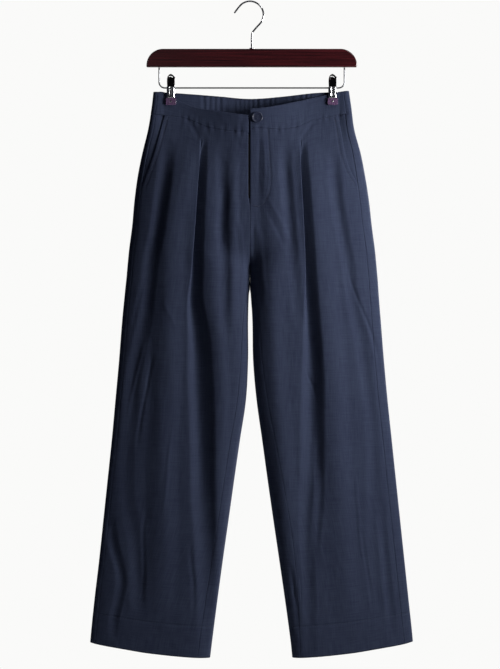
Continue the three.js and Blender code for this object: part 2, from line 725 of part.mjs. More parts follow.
// A point of the cloth at the front, given by its x and its height
function frontPoint(x, z) {
  const leg = x < CENTRE_X ? LEGS.right : LEGS.left;
  return clothAt(leg, true, placeOf(leg, x, z), z);
}

function frontNormal(x, z) {
  const reach = 4;
  const alongX = frontPoint(x + reach, z).sub(frontPoint(x - reach, z));
  const alongZ = frontPoint(x, z + reach).sub(frontPoint(x, z - reach));
  return alongX.cross(alongZ).normalize();
}

// A strip behind the fly, made from the front's own points and moved in
function flyStrip({ halfWidth, top, bottom, depth, thickness, columns, rows }) {
  const heights = spread(top, bottom, rows);
  const places = spread(CENTRE_X - halfWidth, CENTRE_X + halfWidth, columns);
  return wallGeometry(heights.map((z) => places.map((x) => (
    cell(frontPoint(x, z), frontNormal(x, z), thickness, depth)
  ))));
}

// A four-hole button with its raised rim on the +Y side
function button(wasm) {
  const rim = BUTTON_RADIUS;
  const half = BUTTON_THICKNESS / 2;
  const profile = [
    [0, -half], [rim - 1.2, -half], [rim, -half + 0.9], [rim, half - 0.9], [rim - 0.9, half],
    [rim - 2.2, half], [rim - 3.2, half - 0.8], [0, half - 0.8],
  ].map(([radius, height]) => new THREE.Vector2(radius, height));
  const disc = new THREE.LatheGeometry(profile, 24);
  const holes = [[1, 1], [1, -1], [-1, 1], [-1, -1]].map(([x, z]) => {
    const hole = new THREE.CylinderGeometry(BUTTON_HOLE_RADIUS, BUTTON_HOLE_RADIUS, 2 * BUTTON_THICKNESS, 8);
    return hole.translate(x * BUTTON_HOLE_SPREAD, 0, z * BUTTON_HOLE_SPREAD);
  });
  const cut = holes.reduce((solid, hole) => solid.subtract(solidOf(wasm, hole)), solidOf(wasm, disc));
  return geometryOf(cut);
}

function solidOf(wasm, geometry) {
  const bare = geometry.clone();
  bare.deleteAttribute('normal');
  bare.deleteAttribute('uv');
  const merged = mergeVertices(bare, 1e-4);
  return new wasm.Manifold(new wasm.Mesh({
    numProp: 3,
    vertProperties: new Float32Array(merged.getAttribute('position').array),
    triVerts: new Uint32Array(merged.getIndex().array),
  }));
}

function geometryOf(solid) {
  const mesh = solid.getMesh();
  const geometry = new THREE.BufferGeometry();
  geometry.setAttribute('position', new THREE.Float32BufferAttribute(mesh.vertProperties, 3));
  geometry.setIndex([...mesh.triVerts]);
  geometry.computeVertexNormals();
  return geometry;
}

// The wooden bar: its top corners are rounded, its lower ones nearly square
function hangerBar() {
  const half = BAR_LENGTH / 2 - BAR_BEVEL;
  const top = BAR_TOP_Z - BAR_BEVEL;
  const bottom = BAR_TOP_Z - BAR_HEIGHT + BAR_BEVEL;
  const corner = BAR_CORNER;
  const shape = new THREE.Shape();
  shape.moveTo(-half, bottom);
  shape.lineTo(half, bottom);
  shape.lineTo(half, top - corner);
  shape.absarc(half - corner, top - corner, corner, 0, Math.PI / 2, false);
  shape.lineTo(corner - half, top);
  shape.absarc(corner - half, top - corner, corner, Math.PI / 2, Math.PI, false);
  shape.closePath();
  const geometry = new THREE.ExtrudeGeometry(shape, {
    depth: BAR_THICKNESS - 2 * BAR_BEVEL,
    bevelThickness: BAR_BEVEL,
    bevelSize: BAR_BEVEL,
    bevelSegments: 2,
    curveSegments: 8,
  });
  geometry.translate(0, 0, BAR_BEVEL - BAR_THICKNESS / 2);
  return geometry.rotateX(Math.PI / 2).translate(BAR_MIDDLE_X, 0, 0);
}

// A round wire along a path
function wire(path, thickness, steps) {
  const section = new THREE.Shape();
  section.absarc(0, 0, thickness / 2, 0, 2 * Math.PI, false);
  return new THREE.ExtrudeGeometry(section, { extrudePath: path, steps, curveSegments: 4, bevelEnabled: false });
}

const inPlane = (x, z) => new THREE.Vector3(x, 0, z);

// The hook: up out of the bar, round over the rail and down to its tip
function hangerHook() {
  const centreZ = HOOK_WIRE / 2 - HOOK_RADIUS;
  const bow = spread(-38, 134, 12).map((degrees) => {
    const angle = THREE.MathUtils.degToRad(degrees);
    return inPlane(HOOK_X + HOOK_RADIUS * Math.cos(angle), centreZ + HOOK_RADIUS * Math.sin(angle));
  });
  const stem = [
    inPlane(BAR_MIDDLE_X, BAR_TOP_Z + SEAM_GAP),
    inPlane(BAR_MIDDLE_X, -78),
    inPlane(BAR_MIDDLE_X, -67),
    inPlane(BAR_MIDDLE_X + 2.5, -56),
  ];
  const tip = [inPlane(HOOK_X - 24, -13), inPlane(HOOK_X - 30, -21)];
  return wire(new THREE.CatmullRomCurve3([...stem, ...bow, ...tip]), HOOK_WIRE, 38);
}

// The loop below the bar that carries the clips
function hangerLoop() {
  const end = BAR_TOP_Z - BAR_HEIGHT - SEAM_GAP;
  const left = BAR_MIDDLE_X - LOOP_HALF_SPAN;
  const right = BAR_MIDDLE_X + LOOP_HALF_SPAN;
  const path = new THREE.CurvePath();
  const corner = (x, inwards) => [
    inPlane(x, LOOP_Z + LOOP_CORNER),
    inPlane(x, LOOP_Z),
    inPlane(x + inwards * LOOP_CORNER, LOOP_Z),
  ];
  path.add(new THREE.LineCurve3(inPlane(left, end), inPlane(left, LOOP_Z + LOOP_CORNER)));
  path.add(new THREE.QuadraticBezierCurve3(...corner(left, 1)));
  path.add(new THREE.LineCurve3(inPlane(left + LOOP_CORNER, LOOP_Z), inPlane(right - LOOP_CORNER, LOOP_Z)));
  path.add(new THREE.QuadraticBezierCurve3(...corner(right, -1).reverse()));
  path.add(new THREE.LineCurve3(inPlane(right, LOOP_Z + LOOP_CORNER), inPlane(right, end)));
  return wire(path, LOOP_WIRE, 44);
}

// A sprung clip, seen from its side: a narrow grip above the wire and two jaws below it
function clipBody(middleX) {
  const jaw = JAW_OUTER_Y - JAW_THICKNESS;
  const half = [
    [3, CLIP_TOP_Z], [5, CLIP_TOP_Z - 9], [JAW_OUTER_Y, LOOP_Z], [JAW_OUTER_Y, JAW_END_Z],
    [jaw, JAW_END_Z], [jaw, LOOP_Z - 8], [4.5, LOOP_Z - 5],
  ];
  const mirrored = half.map(([y, z]) => [-y, z]).reverse();
  const shape = new THREE.Shape([...half, ...mirrored].map(([y, z]) => new THREE.Vector2(y, z)));
  const bore = new THREE.Path();
  bore.absarc(0, LOOP_Z, LOOP_WIRE / 2 + WIRE_CLEARANCE, 0, 2 * Math.PI, false);
  shape.holes.push(bore);
  const geometry = new THREE.ExtrudeGeometry(shape, { depth: CLIP_WIDTH, curveSegments: 5, bevelEnabled: false });
  const turned = new THREE.Matrix4().makeBasis(
    new THREE.Vector3(0, 1, 0),
    new THREE.Vector3(0, 0, 1),
    new THREE.Vector3(1, 0, 0),
  );
  return geometry.applyMatrix4(turned).translate(middleX - CLIP_WIDTH / 2, 0, 0);
}

// A soft sleeve on the tip of a jaw. "face" is -1 at the front and 1 at the back.
function clipPad(middleX, face) {
  const radius = 3;
  const halfWidth = PAD_WIDTH / 2;
  const halfHeight = PAD_HEIGHT / 2;
  const corners = [[1, 1, 0], [-1, 1, 90], [-1, -1, 180], [1, -1, 270]];
  const shape = new THREE.Shape();
  for (const [x, z, degrees] of corners) {
    const start = THREE.MathUtils.degToRad(degrees);
    shape.absarc(x * (halfWidth - radius), z * (halfHeight - radius), radius, start, start + Math.PI / 2, false);
  }
  const geometry = new THREE.ExtrudeGeometry(shape, {
    depth: PAD_THICKNESS,
    curveSegments: 3,
    bevelEnabled: false,
  });
  geometry.translate(0, 0, -PAD_THICKNESS / 2).rotateX(Math.PI / 2);
  const middleY = face * (PAD_INNER_Y + PAD_THICKNESS / 2);
  return geometry.translate(middleX, middleY, JAW_END_Z - SEAM_GAP - halfHeight);
}

// Everything is built around the middle of the bar and then moved so that the hook lies over the origin
const group = new THREE.Group();
const held = new THREE.Group();
held.position.set(-HOOK_X, 0, 0);
group.add(held);

function add(name, geometry, finish) {
  const mesh = new THREE.Mesh(geometry, new THREE.MeshStandardMaterial(finish));
  mesh.name = name;
  held.add(mesh);
  return mesh;
}

const wasm = await Module();
wasm.setup();

for (const leg of Object.values(LEGS)) {
  add(`front_${leg.side}_leg`, frontLeg(leg), FINISH.linen);
  add(`back_${leg.side}_leg`, backLeg(leg), FINISH.linen);
  add(`waistband_front_${leg.side}`, frontBand(leg), FINISH.linen);
  add(`pocket_facing_${leg.side}`, pocketFacing(leg), FINISH.linen);
}
add('waistband_back', backBand(), FINISH.linen);
add('fly_shield', flyStrip(SHIELD), FINISH.linen);
add('zip', flyStrip(ZIP), FINISH.zip);

const buttonMesh = add('button', button(wasm), FINISH.button);
const buttonNormal = frontNormal(BUTTON_X, BUTTON_Z);
const buttonLift = CLOTH / 2 + BUTTON_SEAT + BUTTON_THICKNESS / 2;
buttonMesh.position.copy(frontPoint(BUTTON_X, BUTTON_Z)).addScaledVector(buttonNormal, buttonLift);
buttonMesh.quaternion.setFromUnitVectors(new THREE.Vector3(0, 1, 0), buttonNormal);

add('hanger_bar', hangerBar(), FINISH.wood);
add('hanger_hook', hangerHook(), FINISH.chrome);
add('hanger_loop', hangerLoop(), FINISH.chrome);
for (const leg of Object.values(LEGS)) {
  const middleX = BAR_MIDDLE_X + leg.sign * CLIP_SPREAD;
  add(`clip_${leg.side}`, clipBody(middleX), FINISH.chrome);
  add(`pad_front_${leg.side}`, clipPad(middleX, -1), FINISH.pad);
  add(`pad_back_${leg.side}`, clipPad(middleX, 1), FINISH.pad);
}

export default group;
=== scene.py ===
"""Suit trousers in slubby linen, hanging by the waist from a wooden clip hanger.

The cloth's form is worked out in millimetres, with the front facing -Y, and follows the frame's solids. Each
piece of cloth is a thin shell on that form. The frame's origin is the inside top of the hook.
"""

from __future__ import annotations

import logging
import math
from dataclasses import dataclass, field
from enum import Enum
from typing import Callable, Sequence

import bmesh
import bpy
import numpy as np
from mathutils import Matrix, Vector

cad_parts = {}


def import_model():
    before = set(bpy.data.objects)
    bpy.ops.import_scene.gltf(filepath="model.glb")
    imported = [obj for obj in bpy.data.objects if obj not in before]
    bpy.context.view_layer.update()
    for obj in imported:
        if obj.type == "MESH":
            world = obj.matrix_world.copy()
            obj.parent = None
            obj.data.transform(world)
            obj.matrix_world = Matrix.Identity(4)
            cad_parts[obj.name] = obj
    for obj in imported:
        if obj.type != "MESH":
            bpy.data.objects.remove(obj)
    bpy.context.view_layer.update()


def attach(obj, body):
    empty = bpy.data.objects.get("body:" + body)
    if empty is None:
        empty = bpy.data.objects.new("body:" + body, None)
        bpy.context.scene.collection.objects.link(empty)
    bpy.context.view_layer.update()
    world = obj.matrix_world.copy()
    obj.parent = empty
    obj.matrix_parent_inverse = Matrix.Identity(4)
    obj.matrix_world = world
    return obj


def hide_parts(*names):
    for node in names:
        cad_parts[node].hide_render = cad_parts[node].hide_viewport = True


LOG = logging.getLogger("trousers")

# Short names for types
Array = np.ndarray
Values = float | Array
Place = tuple[float, float]
Point = tuple[float, float, float]
Piece = bpy.types.Object
Material = bpy.types.Material
Tree = bpy.types.NodeTree
Socket = bpy.types.NodeSocket

MM = 0.001
BODY = "root"

# Where things lie across the cloth's form, in millimetres: the hook, the centre seam, and the hanger's middle
# with its clips on either side
HOOK_X = -3.8
CENTRE_X = -4.0
MIDDLE_X = -0.5
CLIP_SPREAD = 153.5

FRONTWARDS = np.array([0.0, -1.0, 0.0])


class Side(Enum):
    """The wearer's two sides. The value is the sign of x there."""

    RIGHT = -1
    LEFT = 1

    @property
    def word(self) -> str:
        """The side's name as the nodes have it."""
        return self.name.lower()


class Edge(Enum):
    """The edges of a grid of points: its first and last row, and its first and last column."""

    TOP = (0, 0)
    BOTTOM = (0, -1)
    START = (1, 0)
    END = (1, -1)


# Small maths


def mix(a: Values, b: Values, share: Values) -> Values:
    """Go from a to b by a share from 0 to 1."""
    return a + (b - a) * share


def ease(start: float, end: float, value: Values) -> Values:
    """Go from 0 at start to 1 at end with soft ends."""
    share = np.clip((value - start) / (end - start), 0.0, 1.0)
    return share * share * (3 - 2 * share)


def bump(q: Values) -> Values:
    """Give a soft bump of height 1 at 0 that ends at -1 and 1."""
    room = np.clip(1 - q * q, 0.0, None)
    return room * room


def unit(vectors: Array) -> Array:
    """Bring vectors to length 1."""
    return vectors / np.maximum(np.linalg.norm(vectors, axis=-1, keepdims=True), 1e-9)


@dataclass(frozen=True)
class Table:
    """Rows of sizes with named columns, read along a smooth curve by the first column."""

    columns: tuple[str, ...]
    rows: tuple[tuple[float, ...], ...]

    def column(self, name: str) -> Array:
        """Give one column as an array."""
        place = self.columns.index(name)
        return np.array([row[place] for row in self.rows], dtype=float)

    def read(self, name: str, at: Values) -> Array:
        """Read a column at any values of the first column.

        Args:
            name: the column to read.
            at: values of the first column.

        Returns:
            The column's values there, held level past the table's ends.
        """
        keys = self.column(self.columns[0])
        values = self.column(name)
        at = np.asarray(at, dtype=float)
        if keys[0] > keys[-1]:
            keys = -keys
            at = -at
        last = len(keys) - 1
        at = np.clip(at, keys[0], keys[-1])
        i = np.clip(np.searchsorted(keys, at, side="right") - 1, 0, last - 1)
        before = np.maximum(i - 1, 0)
        after = np.minimum(i + 2, last)
        step = keys[i + 1] - keys[i]
        start_slope = (values[i + 1] - values[before]) / (keys[i + 1] - keys[before])
        end_slope = (values[after] - values[i]) / (keys[after] - keys[i])
        t = (at - keys[i]) / step
        start = (1 + 2 * t) * (1 - t) ** 2 * values[i] + t * (1 - t) ** 2 * step * start_slope
        end = t * t * (3 - 2 * t) * values[i + 1] + t * t * (t - 1) * step * end_slope
        return start + end


@dataclass(frozen=True)
class Fold:
    """One soft ridge or trough that runs down the cloth."""

    half: float
    rows: tuple[tuple[float, float, float], ...]

    def height(self, x: Array, z: Array) -> Array:
        """Give how far the fold lifts the cloth at x and z."""
        path = Table(("z", "x", "rise"), self.rows)
        inside = (z < self.rows[0][0]) & (z > self.rows[-1][0])
        lift = path.read("rise", z) * bump((x - path.read("x", z)) / self.half)
        return np.where(inside, lift, 0.0)


@dataclass(frozen=True)
class Ripples:
    """Many small waves with a fixed seed, for cloth that is never quite smooth."""

    seed: int
    height: float
    across: tuple[float, float]
    along: tuple[float, float]
    count: int = 14

    def at(self, x: Array, z: Array) -> Array:
        """Give the waves' height at x and z."""
        draw = np.random.default_rng(self.seed)
        total = np.zeros_like(x)
        for _ in range(self.count):
            wide = 2 * math.pi / draw.uniform(*self.across) * draw.choice([-1.0, 1.0])
            tall = 2 * math.pi / draw.uniform(*self.along)
            total = total + np.sin(wide * x + tall * z + draw.uniform(0, 2 * math.pi))
        return total * self.height / math.sqrt(self.count / 2)


# The sizes of the cloth's form. The solids have the same ones, but for a few folds of the right front, the
# width of the fly's opening and the height where the legs part.

SECTIONS = Table(
    ("z", "rightOuter", "leftOuter", "rightInner", "leftInner", "front", "back"),
    (
        (-165, -187, 184, -4, -4, 24, 18), (-200, -191, 189, -4, -4, 25, 20),
        (-243, -198, 195, -4, -4, 27, 23), (-288, -209, 207, -4, -4, 29, 26),
        (-334, -218, 216, -4, -4, 31, 28), (-380, -224, 223, -4, -4, 32, 30),
        (-425, -228, 228, -4, -4, 33, 32), (-471, -234, 234, -4, -4, 35, 34),
        (-524, -239, 239, -4, -4, 38, 38), (-546, -241.4, 240.6, -4.2, -3.8, 38.8, 38.8),
        (-553, -242, 241, -5.8, -2.8, 39, 39), (-604, -247, 245, -7.4, 0.6, 38, 39),
        (-680, -253, 251, -7.4, 2, 36, 37), (-756, -260, 258, -11.4, 8.6, 34, 35),
        (-832, -267, 266, -22.8, 19.2, 32, 33), (-908, -275, 274, -33.8, 29.6, 31, 32),
        (-984, -283, 282, -44.5, 40.5, 30, 31), (-1060, -291, 290, -55.3, 51.7, 29, 30),
        (-1136, -300, 298, -65.6, 62.7, 28, 29), (-1212, -307.6, 306, -75.4, 73, 27, 28),
        (-1250, -310, 308, -80, 77, 27, 28),
    ),
)

SEAMS = Table(
    ("z", "rightSide", "leftSide", "rightInseam", "leftInseam"),
    (
        (-165, 8, 9, 0, 0), (-215, 9, 12, 0, 0),
        (-360, 10, 17, 0, 0), (-524, 10, 17, 0, 0),
        (-600, 10, 17, 9, 11), (-756, 10, 17, 16, 20),
        (-1022, 10, 17, 20, 30), (-1250, 10, 17, 24, 14),
    ),
)

WAIST_COLUMNS = ("x", "seam", "top")
FRONT_WAIST = {
    Side.RIGHT: Table(
        WAIST_COLUMNS,
        (
            (-200, -213, -170), (-182, -214, -171), (-166, -215, -172), (-142, -218, -186),
            (-123, -222, -195), (-102, -231, -202), (-82, -239, -206), (-51, -245, -211),
            (-8, -249, -217),
        ),
    ),
    Side.LEFT: Table(
        WAIST_COLUMNS,
        (
            (-8, -241, -205), (20, -241, -203), (53, -243, -197), (80, -239, -191),
            (98, -232, -187), (114, -225, -183), (132, -221, -179), (150, -218, -174),
            (166, -214, -171), (182, -212, -169), (200, -210, -168),
        ),
    ),
}
BACK_WAIST = Table(
    WAIST_COLUMNS,
    (
        (-200, -213, -170), (-182, -214, -171), (-166, -215, -172), (-120, -218, -175),
        (-60, -222, -179), (-4, -225, -183), (60, -221, -179), (120, -217, -173),
        (166, -214, -171), (182, -212, -169), (200, -210, -168),
    ),
)

HEM_LINE = Table(
    ("reach", "z"),
    ((60, -1244.5), (110, -1242.5), (190, -1235), (242, -1227), (290, -1219), (312, -1213.5)),
)

POCKETS = {
    Side.RIGHT: Table(("z", "x"), ((-205, -164), (-243, -174), (-288, -186), (-343, -206), (-372, -220))),
    Side.LEFT: Table(("z", "x"), ((-205, 161), (-233, 167), (-288, 176), (-326, 189), (-372, 218))),
}

FLY_LINE = Table(
    ("z", "x"),
    (
        (-246, 30.4), (-270, 31.6), (-300, 33.4), (-322, 35.2),
        (-340, 35.4), (-358, 33.0), (-374, 28.5), (-386, 20.0),
    ),
)

PLEAT_COLUMNS = ("z", "edge", "depth", "lap", "half")
PLEATS = {
    Side.RIGHT: Table(
        PLEAT_COLUMNS,
        (
            (-205, -98, 0, 0, 8), (-262, -98, 0.4, 0, 8), (-285, -98, 4, 5, 8),
            (-330, -101, 8, 11, 9), (-420, -107, 9.5, 13, 10), (-515, -115, 10, 9, 13),
            (-566, -122, 11, 7, 17), (-642, -122, 12, 5, 24), (-718, -122, 12, 4, 27),
            (-794, -119, 12, 4, 27), (-870, -117, 11, 3, 26), (-946, -116, 9, 2, 26),
            (-1022, -110, 7, 1, 24), (-1098, -106, 5, 0, 22), (-1174, -103, 2, 0, 20),
            (-1250, -103, 0.5, 0, 20),
        ),
    ),
    Side.LEFT: Table(
        PLEAT_COLUMNS,
        (
            (-205, 90, 0, 0, 8), (-262, 90, 0.4, 0, 8), (-285, 91, 4, 5, 8),
            (-330, 93, 8, 11, 9), (-420, 98, 9.5, 13, 10), (-515, 101, 10, 11, 12),
            (-566, 99, 10, 8, 15), (-642, 96, 11, 5, 20), (-718, 93, 11, 3, 24),
            (-794, 91, 10, 2, 25), (-870, 90, 8, 1, 24), (-946, 86, 6, 0, 20),
            (-1022, 88, 4, 0, 17), (-1136, 95, 2.5, 0, 15), (-1250, 95, 0.5, 0, 15),
        ),
    ),
}

FRONT_FOLDS = {
    Side.RIGHT: (
        Fold(18, ((-262, -158, 0), (-319, -164, -4), (-376, -171, -5), (-433, -179, -5), (-490, -191, -4.5),
                  (-566, -199, -4.5), (-642, -211, -4.5), (-718, -226, -4), (-794, -232, -3),
                  (-870, -238, -3), (-946, -236, -2), (-1022, -222, -3), (-1098, -216, -4),
                  (-1180, -214, 0))),
        Fold(34, ((-262, -128, 0), (-341, -137, 4), (-433, -152, 5), (-566, -160, 6), (-718, -163, 6),
                  (-870, -170, 6), (-1022, -168, 5), (-1120, -172, 3), (-1200, -172, 0))),
        Fold(14, ((-262, -56, 0), (-330, -57, -3.2), (-376, -55, -4.6), (-433, -57, -4.6),
                  (-490, -53, -3.4), (-566, -51, -2.4), (-640, -50, 0))),
        Fold(13, ((-262, -36, 0), (-340, -35, 2.4), (-433, -35, 3.4), (-490, -33, 2.6), (-566, -35, 2),
                  (-620, -36, 0))),
        Fold(20, ((-300, -84, 0), (-376, -84, 2), (-490, -80, 3), (-566, -76, 3), (-642, -64, 3),
                  (-718, -60, 3), (-870, -60, 3), (-1022, -58, 3), (-1180, -66, 0))),
        Fold(13, ((-960, -270, 0), (-1022, -264, -4), (-1098, -248, -4), (-1174, -262, -3),
                  (-1215, -262, 0))),
    ),
    Side.LEFT: (
        Fold(15, ((-262, 62, 0), (-319, 63, -4), (-376, 67, -4), (-433, 72, -4), (-490, 77, -3),
                  (-566, 84, -2), (-620, 86, 0))),
        Fold(30, ((-262, 38, 0), (-341, 38, 4), (-433, 42, 4), (-566, 38, 4), (-718, 44, 4), (-870, 56, 4),
                  (-984, 64, 4), (-1136, 74, 2), (-1210, 78, 0))),
        Fold(34, ((-262, 108, 0), (-319, 114, 4), (-376, 118, 5), (-490, 131, 6), (-566, 138, 6),
                  (-718, 152, 6), (-870, 160, 6), (-946, 166, 5), (-1022, 168, 4), (-1136, 178, 3),
                  (-1210, 182, 0))),
        Fold(16, ((-280, 154, 0), (-319, 156, -4), (-376, 160, -5), (-433, 170, -5), (-490, 180, -5),
                  (-566, 190, -4), (-642, 206, -4), (-718, 216, -4), (-794, 226, -3), (-946, 231, -3),
                  (-1022, 229, -2), (-1136, 238, -2), (-1200, 244, 0))),
        Fold(12, ((-800, 130, 0), (-870, 128, -3), (-946, 126, -4), (-1022, 120, -2), (-1098, 116, 0))),
        Fold(12, ((-900, 244, 0), (-984, 246, -3), (-1080, 254, -4), (-1160, 262, -3), (-1215, 266, 0))),
    ),
}

BACK_FOLDS = {
    Side.RIGHT: (
        Fold(27, ((-235, -70, 0), (-330, -74, -4), (-520, -84, -6), (-760, -92, -6), (-1000, -110, -5),
                  (-1200, -122, 0))),
        Fold(27, ((-235, -118, 0), (-360, -126, 5), (-600, -140, 5), (-860, -150, 6), (-1080, -172, 4),
                  (-1205, -180, 0))),
        Fold(25, ((-260, -158, 0), (-400, -172, -5), (-640, -196, -5), (-880, -208, -6), (-1100, -226, -4),
                  (-1205, -232, 0))),
        Fold(22, ((-590, -44, 0), (-640, -44, -4), (-800, -60, -4), (-940, -78, 0))),
    ),
    Side.LEFT: (
        Fold(27, ((-235, 62, 0), (-350, 66, -5), (-540, 80, -6), (-740, 88, -5), (-980, 112, -6),
                  (-1200, 126, 0))),
        Fold(28, ((-240, 104, 0), (-380, 118, 5), (-620, 136, 6), (-880, 156, 5), (-1100, 176, 4),
                  (-1205, 184, 0))),
        Fold(25, ((-255, 150, 0), (-420, 170, -5), (-600, 190, -6), (-900, 212, -5), (-1090, 232, -4),
                  (-1205, 238, 0))),
        Fold(22, ((-600, 40, 0), (-660, 40, -4), (-820, 58, -3), (-960, 80, 0))),
    ),
}

# Finer creases, which the solids leave out
FRONT_CREASES = {
    Side.RIGHT: (
        Fold(8, ((-214, -126, 0), (-226, -119, -0.8), (-246, -108, -1.1), (-266, -101, 0))),
        Fold(3, ((-262, -96, 0), (-268, -96, -1.6), (-290, -97, -1.2), (-312, -99, 0))),
        Fold(8, ((-390, -34, 0), (-430, -24, 1.0), (-490, -18, 1.2), (-560, -20, 0))),
        Fold(5, ((-560, -166, 0), (-576, -165, 0.8), (-604, -150, 0.7), (-630, -142, 0))),
        Fold(5, ((-640, -202, 0), (-665, -208, 1.1), (-759, -231, 1.2), (-800, -236, 0))),
        Fold(5, ((-670, -188, 0), (-690, -191, -1.3), (-795, -211, -1.5), (-860, -220, 0))),
        Fold(6, ((-530, -208, 0), (-552, -212, -1.2), (-600, -222, -1.1), (-640, -230, 0))),
        Fold(5, ((-800, -150, 0), (-850, -156, 0.9), (-930, -163, 0.8), (-980, -168, 0))),
        Fold(6, ((-960, -200, 0), (-1000, -206, -1.3), (-1080, -204, -1.5), (-1150, -210, 0))),
        Fold(6, ((-1020, -118, 0), (-1070, -114, -1.6), (-1110, -110, -1.8), (-1170, -112, 0))),
        Fold(5, ((-760, -14, 0), (-840, -26, -0.9), (-960, -46, -0.9), (-1040, -60, 0))),
    ),
    Side.LEFT: (
        Fold(8, ((-222, 122, 0), (-232, 115, -0.7), (-250, 101, -1.1), (-267, 92, 0))),
        Fold(3, ((-262, 92.5, 0), (-268, 92.5, -1.6), (-290, 94, -1.2), (-312, 95.5, 0))),
        Fold(5, ((-252, 13, 0), (-270, 14, -0.9), (-330, 13, -0.7), (-376, 14, 0))),
        Fold(5, ((-254, 22, 0), (-272, 23, 0.8), (-330, 24, 0.7), (-384, 20, 0))),
        Fold(7, ((-372, 30, 0), (-392, 40, 0.8), (-430, 60, 0.9), (-476, 76, 0))),
        Fold(7, ((-390, 24, 0), (-412, 36, -0.9), (-452, 56, -0.9), (-496, 70, 0))),
        Fold(9, ((-420, 10, 0), (-462, 16, 1.2), (-520, 20, 1.4), (-590, 26, 0))),
        Fold(6, ((-404, 6, 0), (-440, 3, -1.0), (-486, 4, -1.2), (-524, 6, 0))),
        Fold(4, ((-500, 182, 0), (-536, 189, -1.6), (-625, 225, -2.2), (-668, 237, -2), (-760, 247, 0))),
        Fold(5, ((-600, 214, 0), (-630, 220, 1.2), (-670, 230, 1), (-700, 236, 0))),
        Fold(5, ((-690, 104, 0), (-706, 107, -1.3), (-730, 118, -1.3), (-760, 124, 0))),
        Fold(5, ((-880, 192, 0), (-930, 198, 0.8), (-1010, 204, 0.8), (-1060, 208, 0))),
        Fold(6, ((-1060, 70, 0), (-1100, 78, -2), (-1150, 84, -1.8), (-1200, 88, 0))),
        Fold(5, ((-1000, 206, 0), (-1050, 214, -1), (-1120, 224, -1), (-1180, 230, 0))),
    ),
}
BACK_CREASES = {
    Side.RIGHT: (
        Fold(9, ((-430, -20, 0), (-470, -34, -2), (-520, -56, -1.4), (-560, -76, 0))),
        Fold(8, ((-470, -12, 0), (-510, -28, -1.8), (-560, -44, -1.2), (-600, -56, 0))),
        Fold(10, ((-660, -60, 0), (-700, -84, 1.6), (-740, -110, 1.4), (-780, -140, 0))),
    ),
    Side.LEFT: (
        Fold(9, ((-440, 14, 0), (-480, 28, -2), (-525, 48, -1.6), (-570, 70, 0))),
        Fold(8, ((-480, 6, 0), (-515, 20, -1.6), (-560, 36, -1.2), (-610, 50, 0))),
        Fold(10, ((-680, 70, 0), (-715, 96, 1.5), (-750, 120, 1.4), (-800, 150, 0))),
    ),
}


